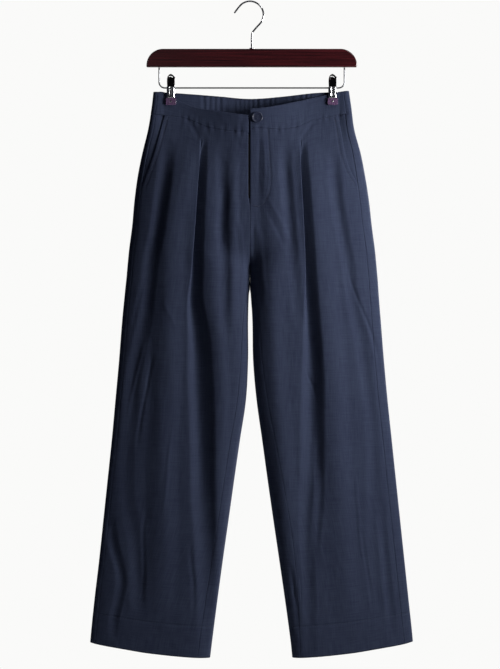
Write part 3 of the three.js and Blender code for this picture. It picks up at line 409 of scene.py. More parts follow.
@dataclass
class ClothForm:
    """The form of the hanging cloth, from the waist pinched by the clips to the open hems."""

    waist_level: float = -215.0
    waist_follow_z: float = -490.0
    crotch_z: float = -524.0
    rise_start_z: float = -430.0
    hem_follow_z: float = -860.0
    hem_level: float = -1244.0
    roundness: float = 0.87
    inner_roundness: float = 0.62
    inner_round_drop: float = 90.0
    inner_round_share: float = 0.4
    pinch_inner: float = 141.0
    pinch_outer: float = 167.0
    pinch_half_gap: float = 2.2
    pinch_top_z: float = -200.0
    pinch_end_z: float = -330.0
    pressed_half: float = 10.0
    pressed_fade: float = 10.0
    pressed_end_z: float = -225.0
    front_bulge: float = 22.0
    back_bulge: float = 14.0
    side_bulge: float = 3.0
    side_bulge_reach: float = 20.0
    side_rounding: float = 8.0
    solid_thickness: float = 1.6
    centre_set_back: float = 0.02
    cloth_half: float = 0.45
    edge_turn: int = 12
    gather_pitch: float = 10.5
    gather_reach: float = 128.0
    gather_height: float = 0.5
    gather_fade: float = 30.0
    gather_run_on: float = 10.0
    gather_drop: float = 34.0
    pleat_middle: float = 0.93
    hem_turn_up: float = 60.0
    hem_edge_lift: float = 0.45
    hem_stitch_depth: float = 0.55
    hem_stitch_half: float = 2.6
    groove_depth: float = 0.8
    groove_half: float = 2.5
    pocket_inset: float = 8.0
    fly_end_z: float = -390.0
    fly_opening: float = 3.2
    lap_edge: float = 0.6
    pocket_end_z: float = -360.0
    seam_pull_drop: float = 8.0
    front_shift: float = 400.0
    back_shift: float = -700.0
    drape_at_waist: float = 0.35
    drape_at_hem: float = 0.45
    drape_full_z: tuple[float, float] = (-420.0, -1140.0)
    drape_end_z: tuple[float, float] = (-225.0, -1225.0)
    search_rounds: int = 36
    follow_rounds: int = 4
    drape: Ripples = field(default_factory=lambda: Ripples(7, 0.14, (24, 70), (350, 1000)))
    crumple: Ripples = field(default_factory=lambda: Ripples(11, 0.07, (12, 44), (22, 90), 20))
    seam_pull: Ripples = field(default_factory=lambda: Ripples(23, 0.3, (7, 22), (80, 200), 6))

    def closing(self, z: Values) -> Values:
        """Give how far a leg's section has closed: 0 above the rise, 1 from the crotch down."""
        return ease(self.rise_start_z, self.crotch_z, z)

    def inner_x(self, side: Side, z: Values) -> Values:
        """Give the x of the inner edge of a leg, or of the centre above the rise."""
        edge = SECTIONS.read(f"{side.word}Inner", z)
        turned = self.closing(z) ** self.edge_turn
        return edge + side.value * (self.centre_set_back + self.cloth_half * turned)

    def outer_x(self, side: Side, z: Values) -> Values:
        """Give the x of the outer edge of a leg."""
        return SECTIONS.read(f"{side.word}Outer", z) - side.value * self.solid_thickness / 2

    def across(self, s: Values, closed: Values) -> Values:
        """Give the share of the way from the inner to the outer edge at a place s."""
        opened = np.sin(math.pi * s / 2) ** self.roundness
        c = -np.cos(math.pi * s)
        shut = 0.5 + 0.5 * np.sign(c) * np.abs(c) ** self.roundness
        return mix(opened, shut, closed)

    def depth_share(self, s: Values, closed: Values, z: Values) -> Values:
        """Give the share of the full depth at a place s."""
        outer_round = np.clip(np.cos(math.pi * s / 2), 0, None) ** self.roundness
        power = mix(1.0, self.inner_roundness, ease(self.crotch_z, self.crotch_z - self.inner_round_drop, z))
        inner_round = np.sin(math.pi / 2 * np.minimum(1.0, s / self.inner_round_share)) ** power
        return outer_round * mix(1.0, inner_round, closed)

    def place_of(self, side: Side, x: Values, z: Values) -> Array:
        """Find the place s whose point has the given x.

        Args:
            side: the leg.
            x: wanted x values.
            z: heights.

        Returns:
            The places, from 0 at the inner edge to 1 at the outer edge.
        """
        closed = self.closing(z)
        wanted = (x - self.inner_x(side, z)) / (self.outer_x(side, z) - self.inner_x(side, z))
        low = np.zeros_like(wanted)
        high = np.ones_like(wanted)
        for _ in range(self.search_rounds):
            middle = (low + high) / 2
            below = self.across(middle, closed) < wanted
            low = np.where(below, middle, low)
            high = np.where(below, high, middle)
        return (low + high) / 2

    def waist_height(self, side: Side, on_front: bool | Array, column: str, x: Values) -> Array:
        """Give the height of the waist seam or of the waistband's top edge."""
        return np.where(on_front, FRONT_WAIST[side].read(column, x), BACK_WAIST.read(column, x))

    def height_at(self, side: Side, on_front: bool | Array, level: Values, x: Values) -> Array:
        """Give the real height of a row at x: rows follow the waist seam above and the hem below."""
        seam_drop = self.waist_height(side, on_front, "seam", x) - self.waist_level
        hem_drop = HEM_LINE.read("z", np.abs(x - CENTRE_X)) - self.hem_level
        near_waist = 1 - ease(self.waist_level, self.waist_follow_z, level)
        near_hem = ease(self.hem_follow_z, self.hem_level, level)
        return level + seam_drop * near_waist + hem_drop * near_hem

    def waist_depth(self, x: Array, outer: Values, bulge: float) -> Array:
        """Give the waist's depth from its middle plane: flat at the clips, bulging between them."""
        reach = np.abs(x - MIDDLE_X)
        swell = 0.5 + 0.5 * np.cos(math.pi * reach / self.pinch_inner)
        between = np.where(reach < self.pinch_inner, swell, 0)
        beyond = np.sin(np.clip((reach - self.pinch_outer) / self.side_bulge_reach, 0, 1) * math.pi / 2)
        to_edge = np.clip(np.abs(outer - x) / self.side_rounding, 0, 1)
        edge = np.sqrt(np.clip(1 - (1 - to_edge) ** 2, 0, None))
        return (self.pinch_half_gap + bulge * between + self.side_bulge * beyond) * edge

    def pleat(self, side: Side, z: Values) -> dict[str, Array]:
        """Give a pleat's middle, half width, depth and lap at some heights."""
        table = PLEATS[side]
        half = table.read("half", z)
        return {
            "half": half,
            "middle": table.read("edge", z) + self.pleat_middle * half,
            "depth": table.read("depth", z),
            "lap": table.read("lap", z),
        }

    def small_forms(self, side: Side, front: bool, x: Array, z: Array) -> Array:
        """Add up the fine creases and ripples at x and z."""
        creases = (FRONT_CREASES if front else BACK_CREASES)[side]
        total = sum((crease.height(x, z) for crease in creases), np.zeros_like(x))
        shifted = x + (self.front_shift if front else self.back_shift)
        (top, low), (full_top, full_low) = self.drape_end_z, self.drape_full_z
        loose = mix(self.drape_at_waist, 1.0, ease(top, full_top, z))
        loose = loose * mix(1.0, self.drape_at_hem, ease(full_low, low, z))
        total = total + self.drape.at(shifted, z) * loose + self.crumple.at(shifted, z)
        total = total + self.hem_form(side, front, x, z)
        seam = self.waist_height(side, front, "seam", x)
        below_seam = np.clip(seam - z, 0, None)
        if front:
            pulled = self.seam_pull.at(x, z) * np.exp(-np.abs(seam - z) / self.seam_pull_drop)
            return total + pulled - self.grooves(side, x, z) * ease(0, 6, below_seam)
        faded = np.exp(-below_seam / self.gather_drop) * ease(0, 3, below_seam)
        return total + self.gathers(x) * self.gathered(x, self.gather_run_on) * faded

    def hem_form(self, side: Side, front: bool, x: Array, z: Array) -> Array:
        """Give how the hem's stitching draws the cloth in and how its turned-up edge lifts it below."""
        above = z - self.height_at(side, front, self.hem_level + self.hem_turn_up, x)
        puckers = 1 + 0.4 * np.sin(x / 3.1) * np.sin(x / 17.0 + 1.0)
        drawn = self.hem_stitch_depth * puckers * bump(above / self.hem_stitch_half)
        return self.hem_edge_lift * ease(1.0, -4.0, above) - drawn

    def grooves(self, side: Side, x: Array, z: Array) -> Array:
        """Give how deep the stitching along the pocket and the fly draws the cloth in."""
        mouth = POCKETS[side].read("x", z) - side.value * self.pocket_inset
        drawn = bump((x - mouth) / self.groove_half) * ease(self.pocket_end_z, self.pocket_end_z + 8, z)
        if side is Side.LEFT:
            drawn = drawn + bump((x - FLY_LINE.read("x", z)) / self.groove_half) * ease(-387, -380, z)
        puckers = 1 + 0.35 * np.sin(z * 0.9) * np.sin(z * 0.23 + 1.0)
        return self.groove_depth * drawn * puckers

    def gathered(self, x: Array, run_on: float = 0.0) -> Array:
        """Give how strong the gathers are at x. They fade out towards the side seams."""
        reach = np.abs(x - MIDDLE_X)
        return 1 - ease(self.gather_reach - self.gather_fade, self.gather_reach + run_on, reach)

    def gathers(self, x: Array) -> Array:
        """Give the uneven waves that the elastic draws the back into."""
        drift = 3.1 * np.sin(x / 23.0) + 2.2 * np.sin(x / 9.7 + 1.3)
        uneven = 0.7 + 0.35 * np.sin(x / 14.0 + 0.6) + 0.3 * np.sin(x / 5.3)
        return self.gather_height * uneven * np.sin(2 * math.pi * (x + drift) / self.gather_pitch)

    def cloth(self, side: Side, on_front: Array, s: Array, z: Array) -> Array:
        """Give the middle of the cloth.

        Args:
            side: the leg.
            on_front: whether each point is on the front.
            s: places from the inner edge to the outer edge.
            z: heights.

        Returns:
            Points in millimetres, in an array with one more axis.
        """
        closed = self.closing(z)
        inner = self.inner_x(side, z)
        outer = self.outer_x(side, z)
        x = mix(inner, outer, self.across(s, closed))
        share = self.depth_share(s, closed, z)
        pinched = 1 - ease(self.pinch_top_z, self.pinch_end_z, z)
        faces = []
        for front, folds, bulge in (
            (True, FRONT_FOLDS, self.front_bulge),
            (False, BACK_FOLDS, self.back_bulge),
        ):
            leg_depth = share * SECTIONS.read("front" if front else "back", z)
            depth = mix(leg_depth, self.waist_depth(x, outer, bulge), pinched)
            rise = sum((fold.height(x, z) for fold in folds[side]), np.zeros_like(x))
            fine = self.small_forms(side, front, x, z) * self.calm(x, z)
            faces.append(depth + (rise + fine) * np.sqrt(share))
        pleat = self.pleat(side, z)
        laid = np.where(on_front, bump((x - pleat["middle"]) / pleat["half"]), 0)
        y = np.where(on_front, -faces[0] + pleat["depth"] * laid, faces[1])
        return np.stack([x - pleat["lap"] * laid, y, np.broadcast_to(z, x.shape)], axis=-1)

    def calm(self, x: Array, z: Array) -> Array:
        """Hold small forms down where the clips press the cloth flat."""
        from_clip = np.abs(np.abs(x - MIDDLE_X) - CLIP_SPREAD)
        beside_clip = ease(self.pressed_half, self.pressed_half + self.pressed_fade, from_clip)
        return 1 - (1 - beside_clip) * (1 - ease(self.pinch_top_z, self.pressed_end_z, z))

    def leg_point(self, side: Side, turn: Array, level: Array) -> Array:
        """Give points of a leg.

        Args:
            side: the leg.
            turn: 0 at the inner edge, 1 at the outer edge, 2 back at the inner edge, and on round the front.
            level: heights before the rows follow the waist seam and the hem.

        Returns:
            Points in millimetres.
        """
        around = np.where(turn > 2, turn - 2, np.abs(turn))
        on_front = around <= 1
        s = np.where(on_front, around, 2 - around)
        z = level + np.zeros_like(s)
        for _ in range(self.follow_rounds):
            x = mix(self.inner_x(side, z), self.outer_x(side, z), self.across(s, self.closing(z)))
            z = self.height_at(side, on_front, level, x)
        return self.cloth(side, on_front, s, z)

    def band_point(self, side: Side, turn: Array, share: Array) -> Array:
        """Give points of the waistband, from its top edge at share 0 to the waist seam at share 1."""
        on_front = turn <= 1
        s = np.where(on_front, turn, 2 - turn)
        z = self.waist_level + np.zeros_like(s)
        for _ in range(self.follow_rounds):
            x = mix(self.inner_x(side, z), self.outer_x(side, z), self.across(s, 0.0))
            top = self.waist_height(side, on_front, "top", x)
            z = mix(top, self.waist_height(side, on_front, "seam", x), share)
        points = self.cloth(side, on_front, s, z)
        x = points[..., 0]
        points[..., 1] += np.where(on_front, 0, self.gathered(x) * self.gathers(x))
        return points

    def face_point(self, x: Array, z: Array, front: bool = True) -> Array:
        """Give points of the front's or the back's cloth at x and z."""
        sides = []
        for side in Side:
            s = self.place_of(side, x, z)
            sides.append(self.cloth(side, np.full(x.shape, front), s, z))
        return np.where((x < CENTRE_X)[..., None], sides[0], sides[1])

    def face_frame(self, x: Array, z: Array, front: bool = True) -> tuple[Array, Array]:
        """Give points of the front or the back and the directions out of them."""
        reach = 1.5
        along_x = self.face_point(x + reach, z, front) - self.face_point(x - reach, z, front)
        along_z = self.face_point(x, z + reach, front) - self.face_point(x, z - reach, front)
        outward = np.cross(along_x, along_z) * (1 if front else -1)
        return self.face_point(x, z, front), unit(outward)


# Meshes


def to_frame(points: Array) -> Array:
    """Turn points in millimetres into the frame's metres, with the hook over the origin."""
    return (np.asarray(points, dtype=float) - np.array([HOOK_X, 0.0, 0.0])) * MM


def make_object(
    name: str,
    points: Array,
    faces: Sequence[Sequence[int]] | Array,
    material: Material,
    uv: Array | None = None,
    smooth: bool = True,
) -> Piece:
    """Make a mesh object at the origin.

    Args:
        name: the piece's name.
        points: its points in millimetres.
        faces: indices of each face's points.
        material: its finish.
        uv: a place on the flat cloth, in metres, for each point.
        smooth: whether its faces are shaded smooth.

    Returns:
        The object, linked to the scene.
    """
    mesh = bpy.data.meshes.new(name)
    face_lists = faces.tolist() if isinstance(faces, Array) else [list(face) for face in faces]
    mesh.from_pydata(to_frame(points).tolist(), [], face_lists)
    if uv is not None:
        layer = mesh.uv_layers.new(name="Cloth")
        corners = np.empty(len(mesh.loops), dtype=np.int32)
        mesh.loops.foreach_get("vertex_index", corners)
        layer.data.foreach_set("uv", uv[corners].astype(np.float32).ravel())
    mesh.polygons.foreach_set("use_smooth", [smooth] * len(mesh.polygons))
    mesh.materials.append(material)
    mesh.update()
    piece = bpy.data.objects.new(name, mesh)
    bpy.context.scene.collection.objects.link(piece)
    return piece


def signed_volume(points: Array, quads: Array) -> float:
    """Give six times the volume inside a closed surface of quads, negative where its faces point in."""
    a, b, c, d = (points[quads[:, i]] for i in range(4))
    first = np.einsum("ij,ij->i", a, np.cross(b, c)).sum()
    return float(first + np.einsum("ij,ij->i", a, np.cross(c, d)).sum())


# A row or column of a sheet: its points, its normals and its places on the flat cloth
Line = tuple[Array, Array, Array]


@dataclass
class Sheet:
    """A grid of cloth points with the direction out of the cloth at each."""

    points: Array
    normals: Array
    uv: Array

    @classmethod
    def from_points(cls, points: Array, outward: Array) -> Sheet:
        """Make a sheet from a grid of points.

        Args:
            points: rows and columns of points.
            outward: a rough direction out of the cloth at the grid's middle.

        Returns:
            The sheet, with its normals and its places on the flat cloth.
        """
        down = np.gradient(points, axis=0)
        along = np.gradient(points, axis=1)
        normals = unit(np.cross(down, along))
        rows, columns = points.shape[:2]
        if normals[rows // 2, columns // 2] @ outward < 0:
            normals = -normals
        return cls(points, normals, cls.flat_places(points))

    @staticmethod
    def flat_places(points: Array) -> Array:
        """Give each point's place on the flat cloth, in metres, from the lengths along the grid."""
        columns = points.shape[1]
        along = np.linalg.norm(np.diff(points, axis=1), axis=-1)
        u = np.concatenate([np.zeros((len(points), 1)), np.cumsum(along, axis=1)], axis=1)
        u = u - u[:, columns // 2:columns // 2 + 1]
        down = np.linalg.norm(np.diff(points[:, columns // 2], axis=0), axis=-1)
        v = np.concatenate([[0.0], np.cumsum(down)])
        return np.stack([u, -np.broadcast_to(v[:, None], u.shape)], axis=-1) * MM

    def line(self, axis: int, index: int) -> Line:
        """Give one row or column of the points, the normals and the flat places."""
        return tuple(np.take(part, index, axis=axis) for part in (self.points, self.normals, self.uv))

    def add_line(self, axis: int, at_end: bool, line: Line) -> None:
        """Put a new row or column at one edge."""
        for name, new in zip(("points", "normals", "uv"), line):
            old = getattr(self, name)
            new = np.expand_dims(new, axis)
            setattr(self, name, np.concatenate([old, new] if at_end else [new, old], axis=axis))

    def roll(self, edge: Edge, radius: Values, flange: float = 1.0, tongue: Values = 0.0) -> Sheet:
        """Turn an edge of the cloth inwards, as a seam allowance or a folded edge lies.

        Args:
            edge: which edge to turn.
            radius: radius of the turn, one for all or one for each point of the edge.
            flange: how far the cloth runs inwards behind it.
            tongue: how far it then runs on under the neighbouring piece, for each point of the edge.

        Returns:
            The sheet itself.
        """
        axis, index = edge.value
        points, normals, uv = self.line(axis, index)
        nearer, _, nearer_uv = self.line(axis, 1 if index == 0 else -2)
        outwards = unit(points - nearer)
        step_uv = unit(uv - nearer_uv)
        radius = np.broadcast_to(np.asarray(radius, dtype=float), (len(points),))[:, None]
        for degrees, run in ((30.0, 0.0), (60.0, 0.0), (90.0, 0.0), (90.0, flange)):
            angle = math.radians(degrees)
            place = points + outwards * radius * math.sin(angle)
            place = place - normals * (radius * (1 - math.cos(angle)) + run)
            turned = unit(normals * math.cos(angle) + outwards * math.sin(angle))
            travel = radius * angle + run
            self.add_line(axis, index == -1, (place, turned, uv + step_uv * travel * MM))
        reach = np.broadcast_to(np.asarray(tongue, dtype=float), (len(points),))[:, None]
        if reach.max() > 0:
            turn_back = place - normals * 0.4 + outwards * np.minimum(reach, 0.5)
            end = place - normals * 0.7 + outwards * reach
            for tongue_place, more in ((turn_back, 0.6), (end, 6.0)):
                travel = travel + more
                self.add_line(axis, index == -1, (tongue_place, normals, uv + step_uv * travel * MM))
        return self

    def build(
        self,
        name: str,
        material: Material,
        thickness: float,
        inside: Values = 0.0,
    ) -> Piece:
        """Close the sheet into a shell and make its object.

        Args:
            name: the piece's name.
            material: its finish.
            thickness: the cloth's thickness.
            inside: extra thickness on the inner side, for each row.

        Returns:
            The object.
        """
        rows, columns = self.points.shape[:2]
        extra = np.broadcast_to(np.asarray(inside, dtype=float).reshape(-1, 1, 1), (rows, 1, 1))
        outer = self.points + self.normals * thickness / 2
        inner = self.points - self.normals * (thickness / 2 + extra)
        points = np.concatenate([outer.reshape(-1, 3), inner.reshape(-1, 3)])
        grid = np.arange(rows * columns).reshape(rows, columns)
        quads = [self.quads(grid), self.quads(grid + rows * columns)[:, ::-1]]
        rim = np.concatenate([grid[0, :-1], grid[:-1, -1], grid[-1, :0:-1], grid[:0:-1, 0]])
        after = np.roll(rim, -1)
        quads.append(np.stack([after, rim, rim + rows * columns, after + rows * columns], axis=-1))
        faces = np.concatenate(quads)
        if signed_volume(points, faces) < 0:
            faces = faces[:, ::-1]
        uv = np.concatenate([self.uv.reshape(-1, 2)] * 2)
        return make_object(name, points, faces, material, uv)

    @staticmethod
    def quads(grid: Array) -> Array:
        """Give the faces between a grid's points."""
        corners = [grid[:-1, :-1], grid[:-1, 1:], grid[1:, 1:], grid[1:, :-1]]
        return np.stack([corner.ravel() for corner in corners], axis=-1)


def ring_faces(rings: int, sides: int) -> list[list[int]]:
    """Give the faces between rings of points that follow one another."""
    faces = []
    for i in range(rings - 1):
        for j in range(sides):
            k = (j + 1) % sides
            faces.append([i * sides + j, i * sides + k, (i + 1) * sides + k, (i + 1) * sides + j])
    return faces


def tube(points: Array, radius: Values, sides: int) -> tuple[Array, list[list[int]]]:
    """Make a closed round bar along a path.

    Args:
        points: the path in millimetres.
        radius: its radius, the same all along or one for each point.
        sides: how many sides it has.

    Returns:
        Its points and its faces.
    """
    points = np.asarray(points, dtype=float)
    along = unit(np.gradient(points, axis=0))
    radius = np.broadcast_to(np.asarray(radius, dtype=float), (len(points),))
    side_way = np.array([0.0, 1.0, 0.0]) if abs(along[0][1]) < 0.9 else np.array([1.0, 0.0, 0.0])
    rings = []
    for place, direction, size in zip(points, along, radius):
        side_way = unit(side_way - direction * (side_way @ direction))
        other_way = np.cross(direction, side_way)
        angles = np.linspace(0, 2 * math.pi, sides, endpoint=False)
        ring = np.outer(np.cos(angles), side_way) + np.outer(np.sin(angles), other_way)
        rings.append(place + size * ring)
    faces = ring_faces(len(points), sides)
    last = (len(points) - 1) * sides
    faces.append(list(range(sides - 1, -1, -1)))
    faces.append([last + j for j in range(sides)])
    return np.concatenate(rings), faces


def bar(name: str, points: Array, radius: Values, sides: int, material: Material) -> Piece:
    """Make a closed round bar along a path as an object."""
    return make_object(name, *tube(points, radius, sides), material)


def smooth_path(points: Sequence[Sequence[float]], per_span: int) -> Array:
    """Run a soft curve through a few points."""
    nodes = np.asarray(points, dtype=float)
    padded = np.concatenate([[2 * nodes[0] - nodes[1]], nodes, [2 * nodes[-1] - nodes[-2]]])
    out = []
    for i in range(1, len(padded) - 2):
        a, b, c, d = padded[i - 1:i + 3]
        for t in np.linspace(0, 1, per_span, endpoint=False):
            out.append(0.5 * (2 * b + (c - a) * t + (2 * a - 5 * b + 4 * c - d) * t * t
                              + (3 * b - a - 3 * c + d) * t ** 3))
    out.append(nodes[-1])
    return np.array(out)


def bake(piece: Piece) -> Piece:
    """Turn a piece's modifiers into its mesh."""
    graph = bpy.context.evaluated_depsgraph_get()
    mesh = bpy.data.meshes.new_from_object(piece.evaluated_get(graph))
    old = piece.data
    piece.modifiers.clear()
    piece.data = mesh
    bpy.data.meshes.remove(old)
    return piece


def plate(
    name: str,
    outline: Sequence[Place],
    thickness: float,
    place: Callable[[float, float, float], Point],
    material: Material,
    bevel: float,
) -> Piece:
    """Make a flat plate with softened edges.

    Args:
        name: the piece's name.
        outline: its outline, in order.
        thickness: its thickness, half on each side of the outline.
        place: turns the outline's two values and the depth into a point.
        material: its finish.
        bevel: the width of its softened edges.

    Returns:
        The object.
    """
    count = len(outline)
    points = [place(a, b, thickness * side) for side in (-0.5, 0.5) for a, b in outline]
    faces = [list(range(count - 1, -1, -1)), [count + i for i in range(count)]]
    faces += [[i, (i + 1) % count, count + (i + 1) % count, count + i] for i in range(count)]
    piece = make_object(name, np.array(points), faces, material)
    fix_normals(piece)
    softened = piece.modifiers.new("Bevel", "BEVEL")
    softened.width = bevel * MM
    softened.segments = 3
    softened.limit_method = "ANGLE"
    softened.angle_limit = math.radians(50)
    softened.harden_normals = True
    return bake(piece)


def cut_out(piece: Piece, points: Array, faces: Sequence[Sequence[int]]) -> None:
    """Cut a closed shape out of a piece."""
    drill = make_object("drill", points, faces, piece.data.materials[0])
    fix_normals(drill)
    cut = piece.modifiers.new("Hole", "BOOLEAN")
    cut.object = drill
    cut.operation = "DIFFERENCE"
    cut.solver = "EXACT"
    bake(piece)
    bpy.data.objects.remove(drill)


def fix_normals(piece: Piece) -> None:
    """Merge doubled points of a closed mesh and point all its faces outwards."""
    mesh = bmesh.new()
    mesh.from_mesh(piece.data)
    bmesh.ops.remove_doubles(mesh, verts=mesh.verts, dist=1e-6)
    bmesh.ops.recalc_face_normals(mesh, faces=mesh.faces)
    mesh.to_mesh(piece.data)
    mesh.free()


def join(name: str, pieces: Sequence[Piece]) -> Piece:
    """Join some pieces into one under a new name."""
    first, chosen = pieces[0], list(pieces)
    with bpy.context.temp_override(
        active_object=first, object=first, selected_objects=chosen, selected_editable_objects=chosen
    ):
        bpy.ops.object.join()
    first.name = name
    first.data.name = name
    return first


# Finishes


def colour(code: str) -> tuple[float, float, float, float]:
    """Turn an sRGB hex value into a linear colour."""
    values = [int(code[i:i + 2], 16) / 255 for i in (1, 3, 5)]
    linear = [v / 12.92 if v <= 0.04045 else ((v + 0.055) / 1.055) ** 2.4 for v in values]
    return (*linear, 1.0)


def feed(tree: Tree, node: bpy.types.Node, links: dict) -> None:
    """Set a node's inputs, each to a value or to the socket that feeds it."""
    for key, value in links.items():
        socket = node.inputs[key]
        if isinstance(value, Socket):
            tree.links.new(value, socket)
        else:
            socket.default_value = value


def add_node(tree: Tree, kind: str, links: dict | None = None, **settings) -> bpy.types.Node:
    """Add a node with its settings and links.

    Args:
        tree: the tree that gets the node.
        kind: the node's type.
        links: for each input, by name or number, a value or the socket that feeds it.
        settings: the node's own settings.

    Returns:
        The node.
    """
    node = tree.nodes.new(kind)
    for key, value in settings.items():
        setattr(node, key, value)
    feed(tree, node, links or {})
    return node


def calculate(tree: Tree, operation: str, *values: Socket | float) -> Socket:
    """Add a sum, product or the like of some values."""
    return add_node(tree, "ShaderNodeMath", dict(enumerate(values)), operation=operation).outputs[0]


def noise(tree: Tree, place: Socket, scale: float, detail: float, **more: float) -> Socket:
    """Add a noise that varies over some places."""
    links = {"Vector": place, "Scale": scale, "Detail": detail, **more}
    return add_node(tree, "ShaderNodeTexNoise", links).outputs["Fac"]


def remap(tree: Tree, value: Socket, low: float, high: float, **settings) -> Socket:
    """Bring the values from low to high to the span from 0 to 1."""
    links = {"Value": value, "From Min": low, "From Max": high}
    return add_node(tree, "ShaderNodeMapRange", links, **settings).outputs["Result"]


def blend(tree: Tree, share: Socket, first: str, second: str) -> Socket:
    """Go from a first to a second colour by a share."""
    links = {0: share, 6: colour(first), 7: colour(second)}
    return add_node(tree, "ShaderNodeMix", links, data_type="RGBA").outputs[2]


def relief(tree: Tree, height: Socket, strength: float, distance: float) -> Socket:
    """Turn a height into the surface's fine relief."""
    links = {"Height": height, "Strength": strength, "Distance": distance}
    return add_node(tree, "ShaderNodeBump", links).outputs["Normal"]


@dataclass(frozen=True)
class Finish:
    """A material with a Principled shader."""

    name: str

    def make(self) -> Material:
        """Make the material."""
        material = bpy.data.materials.new(self.name)
        material.use_nodes = True
        tree = material.node_tree
        tree.nodes.clear()
        shader = add_node(tree, "ShaderNodeBsdfPrincipled")
        add_node(tree, "ShaderNodeOutputMaterial", {"Surface": shader.outputs["BSDF"]})
        feed(tree, shader, self.inputs(tree))
        return material

    def place(self, tree: Tree) -> Socket:
        """Add the places on the object."""
        return add_node(tree, "ShaderNodeTexCoord").outputs["Object"]

    def inputs(self, tree: Tree) -> dict:
        """Give the shader's inputs. Each finish gives its own."""
        raise NotImplementedError


@dataclass(frozen=True)
class WovenLinen(Finish):
    """Plain-woven linen, piece-dyed navy: matt, with thick and thin threads that streak both ways."""

    name: str = "navy_linen_plain_weave"
    deep: str = "#242a43"
    pale: str = "#384157"
    bloom: str = "#8088a8"
    thread_mm: float = 0.95
    slub_width_mm: float = 1.5
    slub_length_mm: float = 46.0
    roughness: float = 0.88

    def inputs(self, tree: Tree) -> dict:
        """Give the linen's colour, sheen and relief."""
        uv = add_node(tree, "ShaderNodeUVMap", uv_map="Cloth").outputs["UV"]
        warp = self.streaks(tree, uv, (self.slub_width_mm, self.slub_length_mm), 3.1)
        weft = self.streaks(tree, uv, (self.slub_length_mm * 0.8, self.slub_width_mm), 9.7)
        threads = calculate(tree, "ADD", warp, weft)
        clouded = calculate(tree, "MULTIPLY_ADD", noise(tree, uv, 9.0, 2.0), 0.35, threads)
        height = calculate(tree, "MULTIPLY_ADD", threads, 0.8, self.weave(tree, uv))
        return {
            "Base Color": blend(tree, remap(tree, clouded, 0.76, 1.56), self.deep, self.pale),
            "Roughness": self.roughness,
            "Specular IOR Level": 0.25,
            "Sheen Weight": 0.12,
            "Sheen Roughness": 0.5,
            "Sheen Tint": colour(self.bloom),
            "Normal": relief(tree, height, 0.6, 0.0004),
        }

    def streaks(self, tree: Tree, uv: Socket, cell: tuple[float, float], seed: float) -> Socket:
        """Add thread slubs: noise drawn out along one thread direction."""
        scale = (1 / (cell[0] * MM), 1 / (cell[1] * MM), 1.0)
        links = {"Vector": uv, "Scale": scale, "Location": (seed, seed * 2, 0.0)}
        drawn = add_node(tree, "ShaderNodeMapping", links).outputs[0]
        return noise(tree, drawn, 1.0, 2.5, Roughness=0.6)

    def weave(self, tree: Tree, uv: Socket) -> Socket:
        """Add the over and under of the threads. They are drawn about half as fine as real ones, to show."""
        turns = 2 * math.pi / (2 * self.thread_mm * MM)
        split = add_node(tree, "ShaderNodeSeparateXYZ", {"Vector": uv}).outputs
        angles = [calculate(tree, "MULTIPLY", split[part], turns) for part in ("X", "Y")]
        waves = [calculate(tree, "SINE", angle) for angle in angles]
        return calculate(tree, "MULTIPLY", calculate(tree, "MULTIPLY", *waves), 0.35)


@dataclass(frozen=True)
class SewingThread(Finish):
    """Spun polyester sewing thread, a shade paler than the cloth, with a faint gloss."""

    name: str = "navy_spun_thread"
    shade: str = "#353c54"
    roughness: float = 0.62

    def inputs(self, tree: Tree) -> dict:
        """Give the thread's colour and twist."""
        twist = noise(tree, self.place(tree), 1800.0, 1.0)
        return {
            "Base Color": colour(self.shade),
            "Roughness": self.roughness,
            "Normal": relief(tree, twist, 0.4, 0.0001),
        }


@dataclass(frozen=True)
class VarnishedWood(Finish):
    """Beech stained dark mahogany under gloss varnish: long fine grain and a sharp highlight."""

    name: str = "mahogany_stained_beech_gloss_varnish"
    dark: str = "#24060a"
    light: str = "#4a1419"
    grain_mm: float = 2.2

    def inputs(self, tree: Tree) -> dict:
        """Give the wood's grain and its varnish."""
        place = self.place(tree)
        fine = 1 / (self.grain_mm * MM)
        drawn = add_node(tree, "ShaderNodeMapping", {"Vector": place, "Scale": (9.0, fine, fine)}).outputs[0]
        grain = noise(tree, drawn, 1.0, 5.0, Roughness=0.6, Distortion=0.4)
        return {
            "Base Color": blend(tree, remap(tree, grain, 0.36, 0.66), self.dark, self.light),
            "Roughness": 0.26,
            "Coat Weight": 0.7,
            "Coat Roughness": 0.08,
            "Normal": relief(tree, noise(tree, place, 60.0, 1.0), 0.12, 0.0006),
        }


@dataclass(frozen=True)
class ChromePlate(Finish):
    """Chrome-plated steel: bright, nearly mirror-like, with faint handling marks."""

    name: str = "chrome_plated_steel"
    shade: str = "#d9dadb"
    roughness: float = 0.12

    def inputs(self, tree: Tree) -> dict:
        """Give the metal's colour and its uneven polish."""
        marks = noise(tree, self.place(tree), 420.0, 3.0)
        links = {"Value": marks, "To Min": self.roughness * 0.6, "To Max": self.roughness * 2.0}
        rough = add_node(tree, "ShaderNodeMapRange", links).outputs["Result"]
        return {"Base Color": colour(self.shade), "Metallic": 1.0, "Roughness": rough}


@dataclass(frozen=True)
class DarkSteel(ChromePlate):
    """Chrome-plated steel wire, coloured dark as a painted reflection of a dark room: dark and shiny."""

    name: str = "black_nickel_plated_steel"
    shade: str = "#3f3a3c"
    roughness: float = 0.16


@dataclass(frozen=True)
class SatinWire(ChromePlate):
    """Zinc-plated wire: grey and satin."""

    name: str = "zinc_plated_wire"
    shade: str = "#8c8d90"
    roughness: float = 0.3


